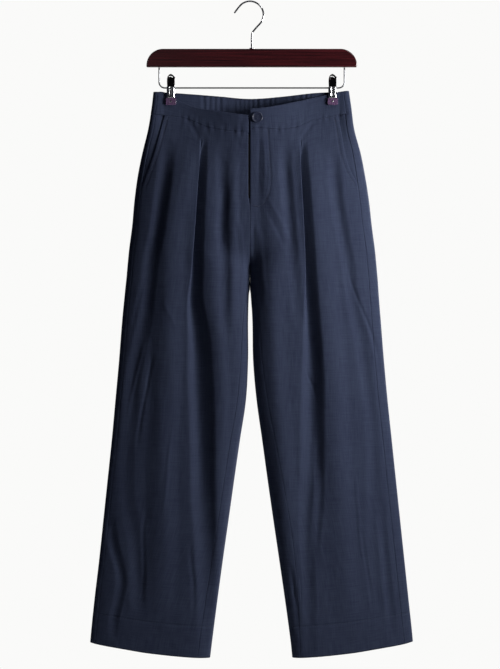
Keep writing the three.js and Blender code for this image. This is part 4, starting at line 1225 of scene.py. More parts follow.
@dataclass(frozen=True)
class TintedVinyl(Finish):
    """Soft clear vinyl with a purple tint: light goes some way in, and the edges glow."""

    name: str = "purple_clear_soft_vinyl"
    shade: str = "#5d4764"
    pale: str = "#86678f"

    def inputs(self, tree: Tree) -> dict:
        """Give the vinyl's cloudy tint and its clearness."""
        cloudy = noise(tree, self.place(tree), 260.0, 2.0)
        return {
            "Base Color": blend(tree, cloudy, self.shade, self.pale),
            "Roughness": 0.18,
            "IOR": 1.53,
            "Transmission Weight": 0.35,
        }


@dataclass(frozen=True)
class CastPolyester(Finish):
    """Cast polyester button stock dyed navy: satin, faintly cloudy."""

    name: str = "navy_cast_polyester"
    dark: str = "#181d30"
    light: str = "#2b3148"

    def inputs(self, tree: Tree) -> dict:
        """Give the button's cloudy colour."""
        cloudy = noise(tree, self.place(tree), 230.0, 3.0)
        return {"Base Color": blend(tree, cloudy, self.dark, self.light), "Roughness": 0.38}


@dataclass(frozen=True)
class PaleFloor(Finish):
    """A plain matt floor."""

    name: str = "pale_matt_floor"
    shade: str = "#eeeeec"

    def inputs(self, tree: Tree) -> dict:
        """Give the floor's colour."""
        return {"Base Color": colour(self.shade), "Roughness": 0.9}


@dataclass
class Finishes:
    """All the finishes of the part, made once."""

    linen: Material = field(default_factory=WovenLinen().make)
    thread: Material = field(default_factory=SewingThread().make)
    # The zip tape is a real part, but its near-black colour is painted shade: it stands for the shade in the
    # fly's gap.
    tape: Material = field(default_factory=SewingThread("black_woven_zip_tape", "#080a12", 0.92).make)
    wood: Material = field(default_factory=VarnishedWood().make)
    chrome: Material = field(default_factory=ChromePlate().make)
    # The levers' chrome is coloured dark: painted reflection of a dark room.
    steel: Material = field(default_factory=DarkSteel().make)
    wire: Material = field(default_factory=SatinWire().make)
    vinyl: Material = field(default_factory=TintedVinyl().make)
    button: Material = field(default_factory=CastPolyester().make)


def declare_cloth(piece: Piece, points: Array) -> None:
    """Log a piece's flat size of what shows, measured along the cloth.

    Args:
        piece: the finished cloth.
        points: its grid of points in millimetres, before its edges are turned in.
    """
    width = np.linalg.norm(np.diff(points, axis=1), axis=-1).sum(axis=1).max() * MM
    length = np.linalg.norm(np.diff(points, axis=0), axis=-1).sum(axis=0).max() * MM
    crossed = np.cross(points[1:, 1:] - points[:-1, :-1], points[1:, :-1] - points[:-1, 1:])
    area = min(np.linalg.norm(crossed, axis=-1).sum() / 2 * MM * MM, width * length)
    LOG.info("%s: cut %.3f by %.3f m, %.4f m2", piece.name, width, length, area)


def hand_over(piece: Piece, slot: str, *nodes: str) -> Piece:
    """Put a piece on the body, hide the nodes it stands for, and report it with them."""
    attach(piece, BODY)
    if nodes:
        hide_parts(*nodes)
    LOG.info("%s: %d faces, for %s", piece.name, len(piece.data.polygons), ", ".join(nodes) or "nothing")
    return piece


# The trousers


@dataclass
class Trousers:
    """The cloth of the trousers: legs, waistband, pockets, fly and their sewing."""

    form: ClothForm
    finishes: Finishes
    thickness: float = 0.9
    sewn_radius: float = 0.25
    sewn_set_back: float = 0.76
    free_radius: float = 0.6
    free_set_back: float = 1.1
    tongue: float = 6.0
    row_step: float = 4.2
    front_columns: int = 150
    back_columns: int = 112
    facing_columns: int = 26
    facing_depth: float = 2.2
    facing_seam_depth: float = 0.9
    facing_overlap: float = 13.0
    band_height: float = 40.0
    band_rows: int = 14
    band_thickness: float = 1.1
    band_lift: float = 0.35
    band_edge_radius: float = 0.8
    front_band_columns: int = 120
    half_back_band_columns: int = 200
    side_seam_top_z: float = -195.0

    def levels(self) -> Array:
        """Give the heights of the leg panels' rows, closer together near the waist."""
        near_waist = np.arange(self.form.waist_level - self.sewn_set_back, -275, -2.0)
        hem_line = self.form.hem_level + self.form.hem_turn_up
        near_hem = np.arange(hem_line + 8, hem_line - 8, -1.3)
        above = np.arange(near_waist[-1] - 3, near_hem[0] + 2, -self.row_step)
        below = np.arange(near_hem[-1] - 3, self.form.hem_level + 3, -self.row_step)
        return np.concatenate([near_waist, above, near_hem, below, [self.form.hem_level]])

    def side_seam(self, side: Side, z: Array) -> Array:
        """Give the place of the side seam."""
        inset = SEAMS.read(f"{side.word}Side", z)
        return self.form.place_of(side, self.form.outer_x(side, z) - side.value * inset, z)

    def inseam(self, side: Side, z: Array) -> Array:
        """Give the place of the inseam, or 0 above the crotch."""
        inset = SEAMS.read(f"{side.word}Inseam", z)
        place = self.form.place_of(side, self.form.inner_x(side, z) + side.value * inset, z)
        return np.where((inset < 0.05) | (z > self.form.crotch_z), 0.0, place)

    def fly_edge(self, side: Side, z: Array) -> Array:
        """Give the place of the front's centre edge, which stands back along the fly."""
        opening = self.form.fly_opening if side is Side.RIGHT else self.form.lap_edge
        width = opening * (1 - ease(self.form.fly_end_z + 24, self.form.fly_end_z, z))
        place = self.form.place_of(side, self.form.inner_x(side, z) + side.value * width, z)
        return np.where(width < 0.05, 0.0, place)

    def pocket_edge(self, side: Side, z: Array) -> Array:
        """Give the place of the pocket mouth, which meets the side seam at its lower end."""
        mouth = self.form.place_of(side, POCKETS[side].read("x", z), z)
        seam = self.side_seam(side, z)
        return np.where(z < self.form.pocket_end_z, seam, np.minimum(mouth, seam))

    def resample(
        self,
        side: Side,
        point_at: Callable[[Array], Array],
        start: Array,
        end: Array,
        columns: int,
        set_back: tuple[Values, Values],
        pleated: bool = False,
    ) -> Array:
        """Place a panel's columns evenly along the cloth, and closer together in the pleat.

        Args:
            side: the leg.
            point_at: gives the points for a grid of places.
            start: each row's first place.
            end: each row's last place.
            columns: how many columns the panel gets.
            set_back: how far the first and the last column lie from the seams, for all rows or for each.
            pleated: whether the panel has the pleat.

        Returns:
            The places, a row for each row of the panel.
        """
        fine = np.linspace(0, 1, 420)
        places = start[:, None] + (end - start)[:, None] * fine
        points = point_at(places)
        lengths = np.linalg.norm(np.diff(points, axis=1), axis=-1)
        true_length = np.concatenate([np.zeros((len(points), 1)), np.cumsum(lengths, axis=1)], axis=1)
        density = np.ones_like(lengths)
        if pleated:
            pleat = self.form.pleat(side, points[:, 1:, 2])
            from_middle = points[:, 1:, 0] - pleat["middle"] + 0.4 * pleat["lap"]
            q = from_middle / (pleat["half"] + 0.5 * pleat["lap"])
            density = density + 2.4 * bump(q / 1.3)
        count = len(points)
        weighted = np.concatenate([np.zeros((count, 1)), np.cumsum(lengths * density, axis=1)], axis=1)
        first, last = (np.broadcast_to(np.asarray(gap, dtype=float), (count,)) for gap in set_back)
        result = np.empty((count, columns))
        for i in range(count):
            low = np.interp(first[i], true_length[i], weighted[i])
            high = np.interp(true_length[i, -1] - last[i], true_length[i], weighted[i])
            result[i] = np.interp(np.linspace(low, high, columns), weighted[i], places[i])
        return result

    def leg_panel(self, side: Side, front: bool) -> tuple[Sheet, Array]:
        """Work out one leg panel with its seam edges turned in, and its points before that."""
        form = self.form
        levels = self.levels()
        front_flags = np.ones_like(levels, dtype=bool)
        inner_z = form.height_at(side, front_flags, levels, form.inner_x(side, levels))
        outer_z = form.height_at(side, front_flags, levels, form.outer_x(side, levels))
        inseam = self.inseam(side, inner_z)
        if front:
            start = np.where(inner_z > form.crotch_z, self.fly_edge(side, inner_z), inseam)
            end = self.pocket_edge(side, outer_z)
        else:
            start = self.side_seam(side, outer_z)
            end = 2 + inseam
        rows = levels[:, None]
        columns = self.front_columns if front else self.back_columns
        tongue = self.tongue
        start_free = front & (inner_z > form.fly_end_z)
        end_free = front & (outer_z > form.pocket_end_z)
        free_edges = (start_free, end_free)
        gaps = tuple(np.where(free, self.free_set_back, self.sewn_set_back) for free in free_edges)
        start_radius, end_radius = (np.where(free, self.free_radius, self.sewn_radius) for free in free_edges)

        def point_at(turn: Array) -> Array:
            """Give the panel's points at a grid of places."""
            return form.leg_point(side, turn, rows)

        points = point_at(self.resample(side, point_at, start, end, columns, gaps, front))
        sheet = Sheet.from_points(points, FRONTWARDS if front else -FRONTWARDS)
        if front:
            under_neighbour = np.where((side is Side.LEFT) & (inner_z < form.fly_end_z), tongue, 0.0)
            sheet.roll(Edge.START, start_radius, tongue=under_neighbour).roll(Edge.END, end_radius)
        else:
            sheet.roll(Edge.START, start_radius, tongue=tongue).roll(Edge.END, end_radius, tongue=tongue)
        return sheet.roll(Edge.TOP, self.sewn_radius, tongue=tongue), points

    def finish_cloth(
        self,
        sheet: Sheet,
        node: str,
        cut: Array,
        thickness: float,
        inside: Values = 0.0,
    ) -> None:
        """Args:
            sheet: the cloth, with its edges turned in.
            node: the node that it stands for.
            cut: its grid of points before the edges were turned in.
            thickness: the cloth's thickness.
            inside: extra thickness on the inner side, for each row.
        """
        piece = hand_over(sheet.build(f"{node}_linen", self.finishes.linen, thickness, inside), "linen", node)
        declare_cloth(piece, cut)

    def build_leg(self, side: Side, front: bool) -> None:
        """Build one leg panel, double below the top of the turned-up hem."""
        sheet, points = self.leg_panel(side, front)
        added = len(sheet.points) - len(self.levels())
        levels = np.concatenate([np.full(added, self.form.waist_level), self.levels()])
        hem_line = self.form.hem_level + self.form.hem_turn_up
        turned_up = ease(hem_line + 2, hem_line, levels)
        node = f"{'front' if front else 'back'}_{side.word}_leg"
        self.finish_cloth(sheet, node, points, self.thickness, self.thickness * turned_up)

    def band_shares(self) -> Array:
        """Give the waistband's rows, as shares of the way from its top edge to the waist seam."""
        return np.linspace(0.02, 1 - self.sewn_set_back / self.band_height, self.band_rows)[:, None]

    def roll_band(self, sheet: Sheet) -> None:
        """Turn in a waistband's lower edge, and fold over its upper edge."""
        sheet.roll(Edge.BOTTOM, self.sewn_radius, 0.8).roll(Edge.TOP, self.band_edge_radius, 1.6)

    def build_front_band(self, side: Side) -> None:
        """Build one half of the plain front waistband."""
        rows = self.band_shares()
        start = self.fly_edge(side, np.full(len(rows), -235.0 if side is Side.RIGHT else -225.0))
        end = self.side_seam(side, np.full(len(rows), self.side_seam_top_z))

        def point_at(turn: Array) -> Array:
            """Give the band's points at a grid of places."""
            return self.form.band_point(side, turn, rows)

        gaps = (self.band_edge_radius, self.sewn_set_back)
        points = point_at(self.resample(side, point_at, start, end, self.front_band_columns, gaps))
        sheet = Sheet.from_points(points, FRONTWARDS)
        sheet.points = sheet.points + sheet.normals * self.band_lift
        sheet.roll(Edge.START, self.band_edge_radius, 4.0).roll(Edge.END, self.sewn_radius)
        self.roll_band(sheet)
        node = f"waistband_front_{side.word}"
        self.finish_cloth(sheet, node, points, self.band_thickness)

    def build_back_band(self) -> None:
        """Build the gathered back waistband, in one piece."""
        rows = self.band_shares()
        halves = []
        for side in Side:
            start = self.side_seam(side, np.full(len(rows), self.side_seam_top_z))
            end = np.full(len(rows), 2.0)

            def point_at(turn: Array, side: Side = side) -> Array:
                """Give the points of one half of the band at a grid of places."""
                return self.form.band_point(side, turn, rows)

            gaps = (self.sewn_set_back, 0.0)
            places = self.resample(side, point_at, start, end, self.half_back_band_columns, gaps)
            halves.append(point_at(places))
        points = np.concatenate([halves[0], halves[1][:, -2::-1]], axis=1)
        sheet = Sheet.from_points(points, -FRONTWARDS)
        for edge in (Edge.START, Edge.END):
            sheet.roll(edge, self.sewn_radius, tongue=self.tongue)
        self.roll_band(sheet)
        self.finish_cloth(
            sheet, "waistband_back", points, self.band_thickness
        )

    def build_facing(self, side: Side) -> None:
        """Build the cloth that shows behind a pocket mouth."""
        form = self.form
        levels = np.arange(form.waist_level - self.sewn_set_back, form.pocket_end_z - 5, -3.0)
        outer_z = form.height_at(side, np.ones_like(levels, dtype=bool), levels, form.outer_x(side, levels))
        mouth = POCKETS[side].read("x", outer_z)
        start = form.place_of(side, mouth - side.value * self.facing_overlap, outer_z)
        end = self.side_seam(side, outer_z)
        rows = levels[:, None]

        def point_at(turn: Array) -> Array:
            """Give the facing's points at a grid of places."""
            return form.leg_point(side, turn, rows)

        gaps = (0.0, self.sewn_set_back)
        points = point_at(self.resample(side, point_at, start, end, self.facing_columns, gaps))
        sheet = Sheet.from_points(points, FRONTWARDS)
        near_seam = ease(0.45, 1.0, np.linspace(0, 1, points.shape[1]))[None, :, None]
        depth = mix(self.facing_depth, self.facing_seam_depth, near_seam)
        sheet.points = sheet.points - sheet.normals * depth
        sheet.roll(Edge.END, self.sewn_radius).roll(Edge.TOP, self.sewn_radius)
        self.finish_cloth(sheet, f"pocket_facing_{side.word}", points, self.thickness)

    def fly_strip(self, half_width: float, top: float, bottom: float, depth: float) -> Sheet:
        """Work out a strip behind the fly."""
        across = np.linspace(CENTRE_X - half_width, CENTRE_X + half_width, 30)
        x, z = np.meshgrid(across, np.arange(top, bottom, -4.0))
        points, normals = self.form.face_frame(x, z)
        return Sheet.from_points(points - normals * depth, FRONTWARDS)

    def build_fly(self) -> None:
        """Build the shield and the zip tape behind the fly."""
        shield = self.fly_strip(half_width=27, top=-222, bottom=-384, depth=3.6)
        self.finish_cloth(shield, "fly_shield", shield.points, 1.4)
        tape = self.fly_strip(half_width=11, top=-254, bottom=-376, depth=1.8)
        # The tape's near-black colour is painted shade for the dark gap of the fly.
        piece = hand_over(tape.build("zip_tape", self.finishes.tape, self.thickness), "zip_tape", "zip")
        declare_cloth(piece, tape.points)

    def build(self) -> None:
        """Build all the cloth."""
        for side in Side:
            for front in (True, False):
                self.build_leg(side, front)
            self.build_front_band(side)
            self.build_facing(side)
        self.build_back_band()
        self.build_fly()


# Sewing that shows


@dataclass(frozen=True)
class StitchKind:
    """One kind of stitch: its sizes in millimetres."""

    name: str
    length: float
    pitch: float
    thread: float = 0.42

    def make_stitch(self, material: Material) -> Piece:
        """Make one stitch: a short thread that dives into the cloth at both ends."""
        half = self.length / 2
        shares = ((-1, -0.3), (-0.8, 0.12), (0, 0.24), (0.8, 0.12), (1, -0.3))
        path = smooth_path([(half * share, 0, height) for share, height in shares], 2)
        stitch = bar(f"{self.name}_one", path + np.array([HOOK_X, 0, 0]), self.thread / 2, 6, material)
        fix_normals(stitch)
        return stitch


def stitch_tree(kind: StitchKind, material: Material) -> bpy.types.GeometryNodeTree:
    """Build the nodes that lay one stitch after another along a line.

    Args:
        kind: the stitch's sizes.
        material: the thread.

    Returns:
        The node tree, with the inputs Line, Stitch, Pitch and Jitter.
    """
    tree = bpy.data.node_groups.new(f"{kind.name}_run", "GeometryNodeTree")
    inputs = {"Line": "Geometry", "Stitch": "Object", "Pitch": "Float", "Jitter": "Float"}
    for name, data in inputs.items():
        tree.interface.new_socket(name, in_out="INPUT", socket_type=f"NodeSocket{data}")
    tree.interface.new_socket("Stitches", in_out="OUTPUT", socket_type="NodeSocketGeometry")
    given = add_node(tree, "NodeGroupInput").outputs
    curve = add_node(tree, "GeometryNodeMeshToCurve", {"Mesh": given["Line"]})
    evenly = {"Curve": curve.outputs["Curve"], "Length": given["Pitch"]}
    spaced = add_node(tree, "GeometryNodeResampleCurve", evenly, mode="LENGTH")
    one = add_node(tree, "GeometryNodeObjectInfo", {"Object": given["Stitch"]})
    tangent = add_node(tree, "GeometryNodeInputTangent").outputs["Tangent"]
    out = add_node(tree, "GeometryNodeInputNamedAttribute", {"Name": "out"}, data_type="FLOAT_VECTOR")
    along = add_node(
        tree, "FunctionNodeAlignRotationToVector", {"Vector": tangent}, axis="X", pivot_axis="AUTO"
    )
    upright = add_node(
        tree, "FunctionNodeAlignRotationToVector",
        {"Rotation": along.outputs["Rotation"], "Vector": out.outputs["Attribute"]}, axis="Z", pivot_axis="X",
    )
    low = calculate(tree, "SUBTRACT", 1.0, given["Jitter"])
    high = calculate(tree, "ADD", 1.0, given["Jitter"])
    size = add_node(tree, "FunctionNodeRandomValue", {"Min": low, "Max": high, "Seed": 5}, data_type="FLOAT")
    laid = add_node(
        tree, "GeometryNodeInstanceOnPoints",
        {"Points": spaced.outputs["Curve"], "Instance": one.outputs["Geometry"],
         "Rotation": upright.outputs["Rotation"]},
    )
    chosen = next(socket for socket in size.outputs if socket.enabled)
    tree.links.new(chosen, laid.inputs["Scale"])
    real = add_node(tree, "GeometryNodeRealizeInstances", {"Geometry": laid.outputs["Instances"]})
    coloured = {"Geometry": real.outputs["Geometry"], "Material": material}
    dyed = add_node(tree, "GeometryNodeSetMaterial", coloured)
    add_node(tree, "NodeGroupOutput", {"Stitches": dyed.outputs["Geometry"]})
    return tree


@dataclass
class Sewing:
    """The stitches that show: pocket edges, the fly's curved line, its bar tack and the buttonhole."""

    form: ClothForm
    finishes: Finishes
    topstitch: StitchKind = StitchKind("topstitch", 2.3, 2.9)
    hem_stitch: StitchKind = StitchKind("hem_stitch", 3.0, 3.8)
    bar_stitch: StitchKind = StitchKind("bar_stitch", 3.4, 0.55, 0.5)
    purl: StitchKind = StitchKind("purl", 1.4, 0.5, 0.4)
    height: float = 0.5
    unevenness: float = 0.09
    fly_turn: tuple[float, float] = (9.0, -389.5)
    fly_tack: tuple[float, float] = (8.0, -388.4)
    pocket_tack_z: float = -226.0
    buttonhole: tuple[float, float] = (18.0, -221.6)
    buttonhole_length: float = 8.0

    def line_on(self, points: Sequence[Place], lift: float, front: bool = True) -> tuple[Array, Array]:
        """Lay a smooth line of x and z values on the front's or the back's cloth."""
        flat = smooth_path([(x, z, 0.0) for x, z in points], 12)
        places, normals = self.form.face_frame(flat[:, 0], flat[:, 1], front)
        return places + normals * lift, normals

    def hem_line(self, side: Side, front: bool) -> list[Place]:
        """Give the line along the top of the turned-up hem."""
        level = self.form.hem_level + self.form.hem_turn_up
        inner = float(self.form.inner_x(side, level)) + side.value * 4
        outer = float(self.form.outer_x(side, level)) - side.value * 4
        across = np.linspace(inner, outer, 16)
        heights = self.form.height_at(side, front, level, across)
        return [(float(x), float(z)) for x, z in zip(across, heights)]

    def pocket_line(self, side: Side, inset: float) -> list[Place]:
        """Give the line along a pocket mouth, some way in from its edge."""
        heights = np.arange(-222, self.form.pocket_end_z + 2, -12.0)
        edge = POCKETS[side].read("x", heights)
        return [(float(x - side.value * inset), float(z)) for x, z in zip(edge, heights)]

    def run(self, name: str, kind: StitchKind, lines: Sequence[tuple[Array, Array]]) -> Piece:
        """Sew stitches along some lines.

        Args:
            name: the piece's name.
            kind: which stitch.
            lines: points and directions out of the cloth.

        Returns:
            The stitches, as one plain mesh.
        """
        points = np.concatenate([line[0] for line in lines])
        outs = np.concatenate([line[1] for line in lines])
        edges = []
        first = 0
        for line in lines:
            edges += [(first + i, first + i + 1) for i in range(len(line[0]) - 1)]
            first += len(line[0])
        mesh = bpy.data.meshes.new(name)
        mesh.from_pydata(to_frame(points).tolist(), edges, [])
        layer = mesh.attributes.new("out", "FLOAT_VECTOR", "POINT")
        layer.data.foreach_set("vector", outs.astype(np.float32).ravel())
        piece = bpy.data.objects.new(name, mesh)
        bpy.context.scene.collection.objects.link(piece)
        stitch = kind.make_stitch(self.finishes.thread)
        tree = stitch_tree(kind, self.finishes.thread)
        nodes = piece.modifiers.new("Stitches", "NODES")
        nodes.node_group = tree
        values = {"Stitch": stitch, "Pitch": kind.pitch * MM, "Jitter": self.unevenness}
        for socket in tree.interface.items_tree:
            if socket.item_type == "SOCKET" and socket.name in values:
                nodes[socket.identifier] = values[socket.name]
        bake(piece)
        bpy.data.objects.remove(stitch)
        return hand_over(piece, "linen")

    def build(self) -> None:
        """Sew everything that shows."""
        form, lift = self.form, self.height
        pockets = [self.line_on(self.pocket_line(side, form.pocket_inset), lift) for side in Side]
        self.run("pocket_topstitch", self.topstitch, pockets)
        hems = [
            self.line_on(self.hem_line(side, front), lift, front) for side in Side for front in (True, False)
        ]
        self.run("hem_topstitch", self.hem_stitch, hems)
        fly_line = [(x, z) for z, x in FLY_LINE.rows] + [self.fly_turn]
        self.run("fly_topstitch", self.topstitch, [self.line_on(fly_line, lift)])
        self.run("bar_tacks", self.bar_stitch, [*self.fly_tacks(lift + 0.15), *self.pocket_tacks(lift + 0.1)])
        x, z = self.buttonhole
        edges = [[(x, z + edge), (x + self.buttonhole_length, z + edge)] for edge in (-0.7, 0.7)]
        self.run("buttonhole_stitches", self.purl, [self.line_on(edge, lift + 0.35) for edge in edges])

    def fly_tacks(self, lift: float) -> list[tuple[Array, Array]]:
        """Give the lines of the bar tack at the fly's lower end."""
        x, z = self.fly_tack
        rows = (z, z - 0.7, z - 1.4)
        return [self.line_on([(x - 3.5, row + 0.2), (x, row), (x + 4.0, row - 0.2)], lift) for row in rows]

    def pocket_tacks(self, lift: float) -> list[tuple[Array, Array]]:
        """Give the lines of the bar tacks at both ends of the pocket mouths."""
        lines = []
        for side in Side:
            for z in (self.pocket_tack_z, self.form.pocket_end_z + 4):
                mouth = POCKETS[side].read("x", z)
                lines.append(self.line_on([(mouth - side.value * reach, z) for reach in (9, 1)], lift))
        return lines


# The hanger


@dataclass
class Hanger:
    """The wooden bar, its hook, and the wire loop with two sprung clips."""

    finishes: Finishes
    bar_length: float = 400.0
    bar_top: float = -89.0
    bar_height: float = 35.0
    bar_thickness: float = 12.0
    bar_corner: float = 31.5
    bar_bevel: float = 2.2
    hook_wire: float = 3.4
    hook_radius: float = 25.5
    loop_wire: float = 2.8
    loop_half_span: float = 176.0
    loop_z: float = -163.0
    loop_corner: float = 11.0
    clip_width: float = 15.0
    clip_top: float = -136.4
    coil_radius: float = 3.4
    coil_turns: int = 5
    jaw_thickness: float = 1.1
    rib_height: float = 1.1
    rib_spread: float = 4.2
    rib_half: float = 2.9
    jaw_end: float = -182.0
    jaw_outer_y: float = 7.8
    pad_width: float = 20.0
    pad_height: float = 13.6
    pad_thickness: float = 4.2
    pad_corner: float = 3.0
    pad_bevel: float = 1.1
    pad_inner_y: float = 3.35

    def build_bar(self) -> Piece:
        """Build the bar, with round top corners."""
        half = self.bar_length / 2
        bottom = self.bar_top - self.bar_height
        centre = half - self.bar_corner
        level = self.bar_top - self.bar_corner
        right = [
            (centre + self.bar_corner * math.cos(a), level + self.bar_corner * math.sin(a))
            for a in map(math.radians, np.linspace(0, 90, 14))
        ]
        left = [(-x, z) for x, z in reversed(right)]
        outline = [(-half, bottom), (half, bottom), *right, *left]
        piece = plate(
            "hanger_bar_wood", outline, self.bar_thickness,
            lambda a, b, depth: (a + MIDDLE_X, depth, b), self.finishes.wood, self.bar_bevel,
        )
        return hand_over(piece, "hanger_wood", "hanger_bar")

    def build_hook(self) -> Piece:
        """Build the hook: a stem out of the bar and a bow over the rail."""
        centre_z = self.hook_wire / 2 - self.hook_radius
        bow = [
            (HOOK_X + self.hook_radius * math.cos(a), 0.0, centre_z + self.hook_radius * math.sin(a))
            for a in np.radians(np.linspace(-38, 134, 12))
        ]
        stem = [(MIDDLE_X, 0, self.bar_top + 0.3), (MIDDLE_X, 0, -78), (MIDDLE_X, 0, -67),
                (MIDDLE_X + 2.5, 0, -56)]
        tip = [(HOOK_X - 24, 0, -13), (HOOK_X - 30, 0, -21)]
        path = smooth_path([*stem, *bow, *tip], 6)
        radius = np.full(len(path), self.hook_wire / 2)
        radius[-1] *= 0.55
        wire = bar("hook_wire", path, radius, 16, self.finishes.chrome)
        heights, radii = zip((-88.9, 4.4), (-88.5, 4.6), (-87.2, 4.3), (-86.6, 2.4))
        rings = np.array([(MIDDLE_X, 0, z) for z in heights])
        collar = bar("hook_collar", rings, np.array(radii), 24, self.finishes.chrome)
        return hand_over(join("hanger_hook_chrome", [wire, collar]), "chrome", "hanger_hook")

    def build_loop(self) -> Piece:
        """Build the wire loop that carries the clips."""
        end = self.bar_top - self.bar_height - 0.3
        angles = np.radians(np.linspace(180, 270, 8))
        left = MIDDLE_X - self.loop_half_span
        corner_x = left + self.loop_corner
        corner_z = self.loop_z + self.loop_corner
        down = [(left, 0, z) for z in np.linspace(end, corner_z, 6)]
        bend = [
            (corner_x + self.loop_corner * math.cos(a), 0, corner_z + self.loop_corner * math.sin(a))
            for a in angles[1:]
        ]
        half = [*down, *bend]
        other = [(2 * MIDDLE_X - x, y, z) for x, y, z in reversed(half)]
        wire = np.array([*half, *other])
        piece = bar("hanger_loop_chrome", wire, self.loop_wire / 2, 14, self.finishes.wire)
        return hand_over(piece, "chrome", "hanger_loop")

    def build_clip(self, side: Side) -> Piece:
        """Build one sprung clip: levers above the wire, a coiled spring round it and two jaws below."""
        middle = MIDDLE_X + side.value * CLIP_SPREAD
        parts = []
        for face in (-1, 1):
            parts += [build(middle, face) for build in (self.build_jaw, self.build_lever, self.build_cheeks)]
        radius = self.coil_radius
        coil = [
            (middle + mix(-5.5, 5.5, t), radius * math.cos(a), self.loop_z + radius * math.sin(a))
            for t, a in zip(np.linspace(0, 1, 120), np.linspace(0, self.coil_turns * 2 * math.pi, 120))
        ]
        parts.append(bar("coil", np.array(coil), 0.75, 8, self.finishes.chrome))
        piece = join(f"clip_{side.word}_chrome", parts)
        return hand_over(piece, "chrome", f"clip_{side.word}")

    def build_jaw(self, middle: float, face: int) -> Piece:
        """Build one jaw: a pressed plate with two ribs."""
        half = self.clip_width / 2
        columns = np.linspace(-half, half, 25)
        rows = np.linspace(self.loop_z + 2, self.jaw_end, 16)
        a, b = np.meshgrid(columns, rows)
        ribs = sum(bump((a - spread) / self.rib_half) for spread in (self.rib_spread, -self.rib_spread))
        ribbed = self.rib_height * ribs * ease(self.jaw_end + 1, self.jaw_end + 4, b)
        rounded = 1.1 * (np.abs(a) / half) ** 6
        y = face * (self.jaw_outer_y - 0.9 + ribbed - rounded)
        sheet = Sheet.from_points(np.stack([middle + a, y, b], axis=-1), -face * FRONTWARDS)
        return sheet.build(f"jaw_{face}", self.finishes.chrome, self.jaw_thickness)

    def build_lever(self, middle: float, face: int) -> Piece:
        """Build one lever: a pressed plate that leans in towards its round top, with a slot and a hole."""
        low = self.loop_z + 2.5
        top = self.clip_top

        def place(a: float, b: float, depth: float) -> Point:
            """Put a point of the outline on the leaning lever."""
            return middle + a, face * mix(self.jaw_outer_y - 1.4, 3.2, (b - low) / (top - low)) + depth, b

        outline = [
            (-7.0, low), (-7.4, -152), (-7.3, -146), (-6.2, -141), (-3.6, -138), (0, top),
            (3.8, -138.6), (8.2, -143.2), (7.2, -145.4), (7.3, -152), (7.0, low),
        ]
        slot = [(-4.0, -141.9), (-1.6, -140.9), (1.2, -141.4), (3.8, -143.2)]
        hole = [(-3.2, -146.0), (-3.0, -146.6)]
        # The lever's dark colour is painted reflection: it stands for chrome mirroring a dark room.
        piece = plate(f"lever_{face}", outline, self.jaw_thickness, place, self.finishes.steel, 0.35)
        for opening, radius in ((slot, 1.25), (hole, 1.2)):
            path = smooth_path([place(a, b, 0.0) for a, b in opening], 5)
            cut_out(piece, *tube(path, radius, 16))
        return piece

    def build_cheeks(self, middle: float, face: int) -> Piece:
        """Build the two small side cheeks that hold the jaw on the wire."""
        parts = []
        for end in (-1, 1):
            outline = [(0.6, -5.5), (5.6, -7.0), (6.9, -3.0), (6.9, 2.0), (5.0, 4.4), (0.6, 4.0)]
            x = middle + end * (self.clip_width / 2 - 0.9)

            def place(a: float, b: float, depth: float, x: float = x) -> Point:
                """Put a point of the outline on the cheek."""
                return x + depth, face * a, self.loop_z + b

            parts.append(plate(f"cheek_{face}_{end}", outline, 0.9, place, self.finishes.chrome, 0.3))
        return join(f"cheeks_{face}", parts)

    def build_pad(self, side: Side, face: int) -> Piece:
        """Build one soft pad with its rivet."""
        middle = MIDDLE_X + side.value * CLIP_SPREAD
        top = self.jaw_end - 0.3
        middle_z = top - self.pad_height / 2
        middle_y = face * (self.pad_inner_y + self.pad_thickness / 2)
        corner = self.pad_corner
        across, up = self.pad_width / 2 - corner, self.pad_height / 2 - corner
        outline = []
        for sx, sz, first in ((1, 1, 0), (-1, 1, 90), (-1, -1, 180), (1, -1, 270)):
            for a in np.radians(np.linspace(first, first + 90, 6)):
                outline.append((sx * across + corner * math.cos(a), sz * up + corner * math.sin(a)))

        def place(a: float, b: float, depth: float) -> Point:
            """Put a point of the outline on the pad."""
            return middle + a, middle_y + depth, middle_z + b

        word = "front" if face < 0 else "back"
        node = f"pad_{word}_{side.word}"
        vinyl = self.finishes.vinyl
        piece = plate(f"{node}_vinyl", outline, self.pad_thickness, place, vinyl, self.pad_bevel)
        rivet_y = middle_y + face * self.pad_thickness / 2
        path = np.array([(middle, rivet_y + face * out, middle_z) for out in (-0.6, 0.2, 0.5)])
        rivet = bar(f"{node}_rivet", path, np.array([1.9, 1.9, 1.2]), 20, self.finishes.chrome)
        fix_normals(rivet)
        hand_over(rivet, "chrome")
        return hand_over(piece, "pad", node)

    def build(self) -> None:
        """Build the whole hanger."""
        self.build_bar()
        self.build_hook()
        self.build_loop()
        for side in Side:
            self.build_clip(side)
            for face in (-1, 1):
                self.build_pad(side, face)


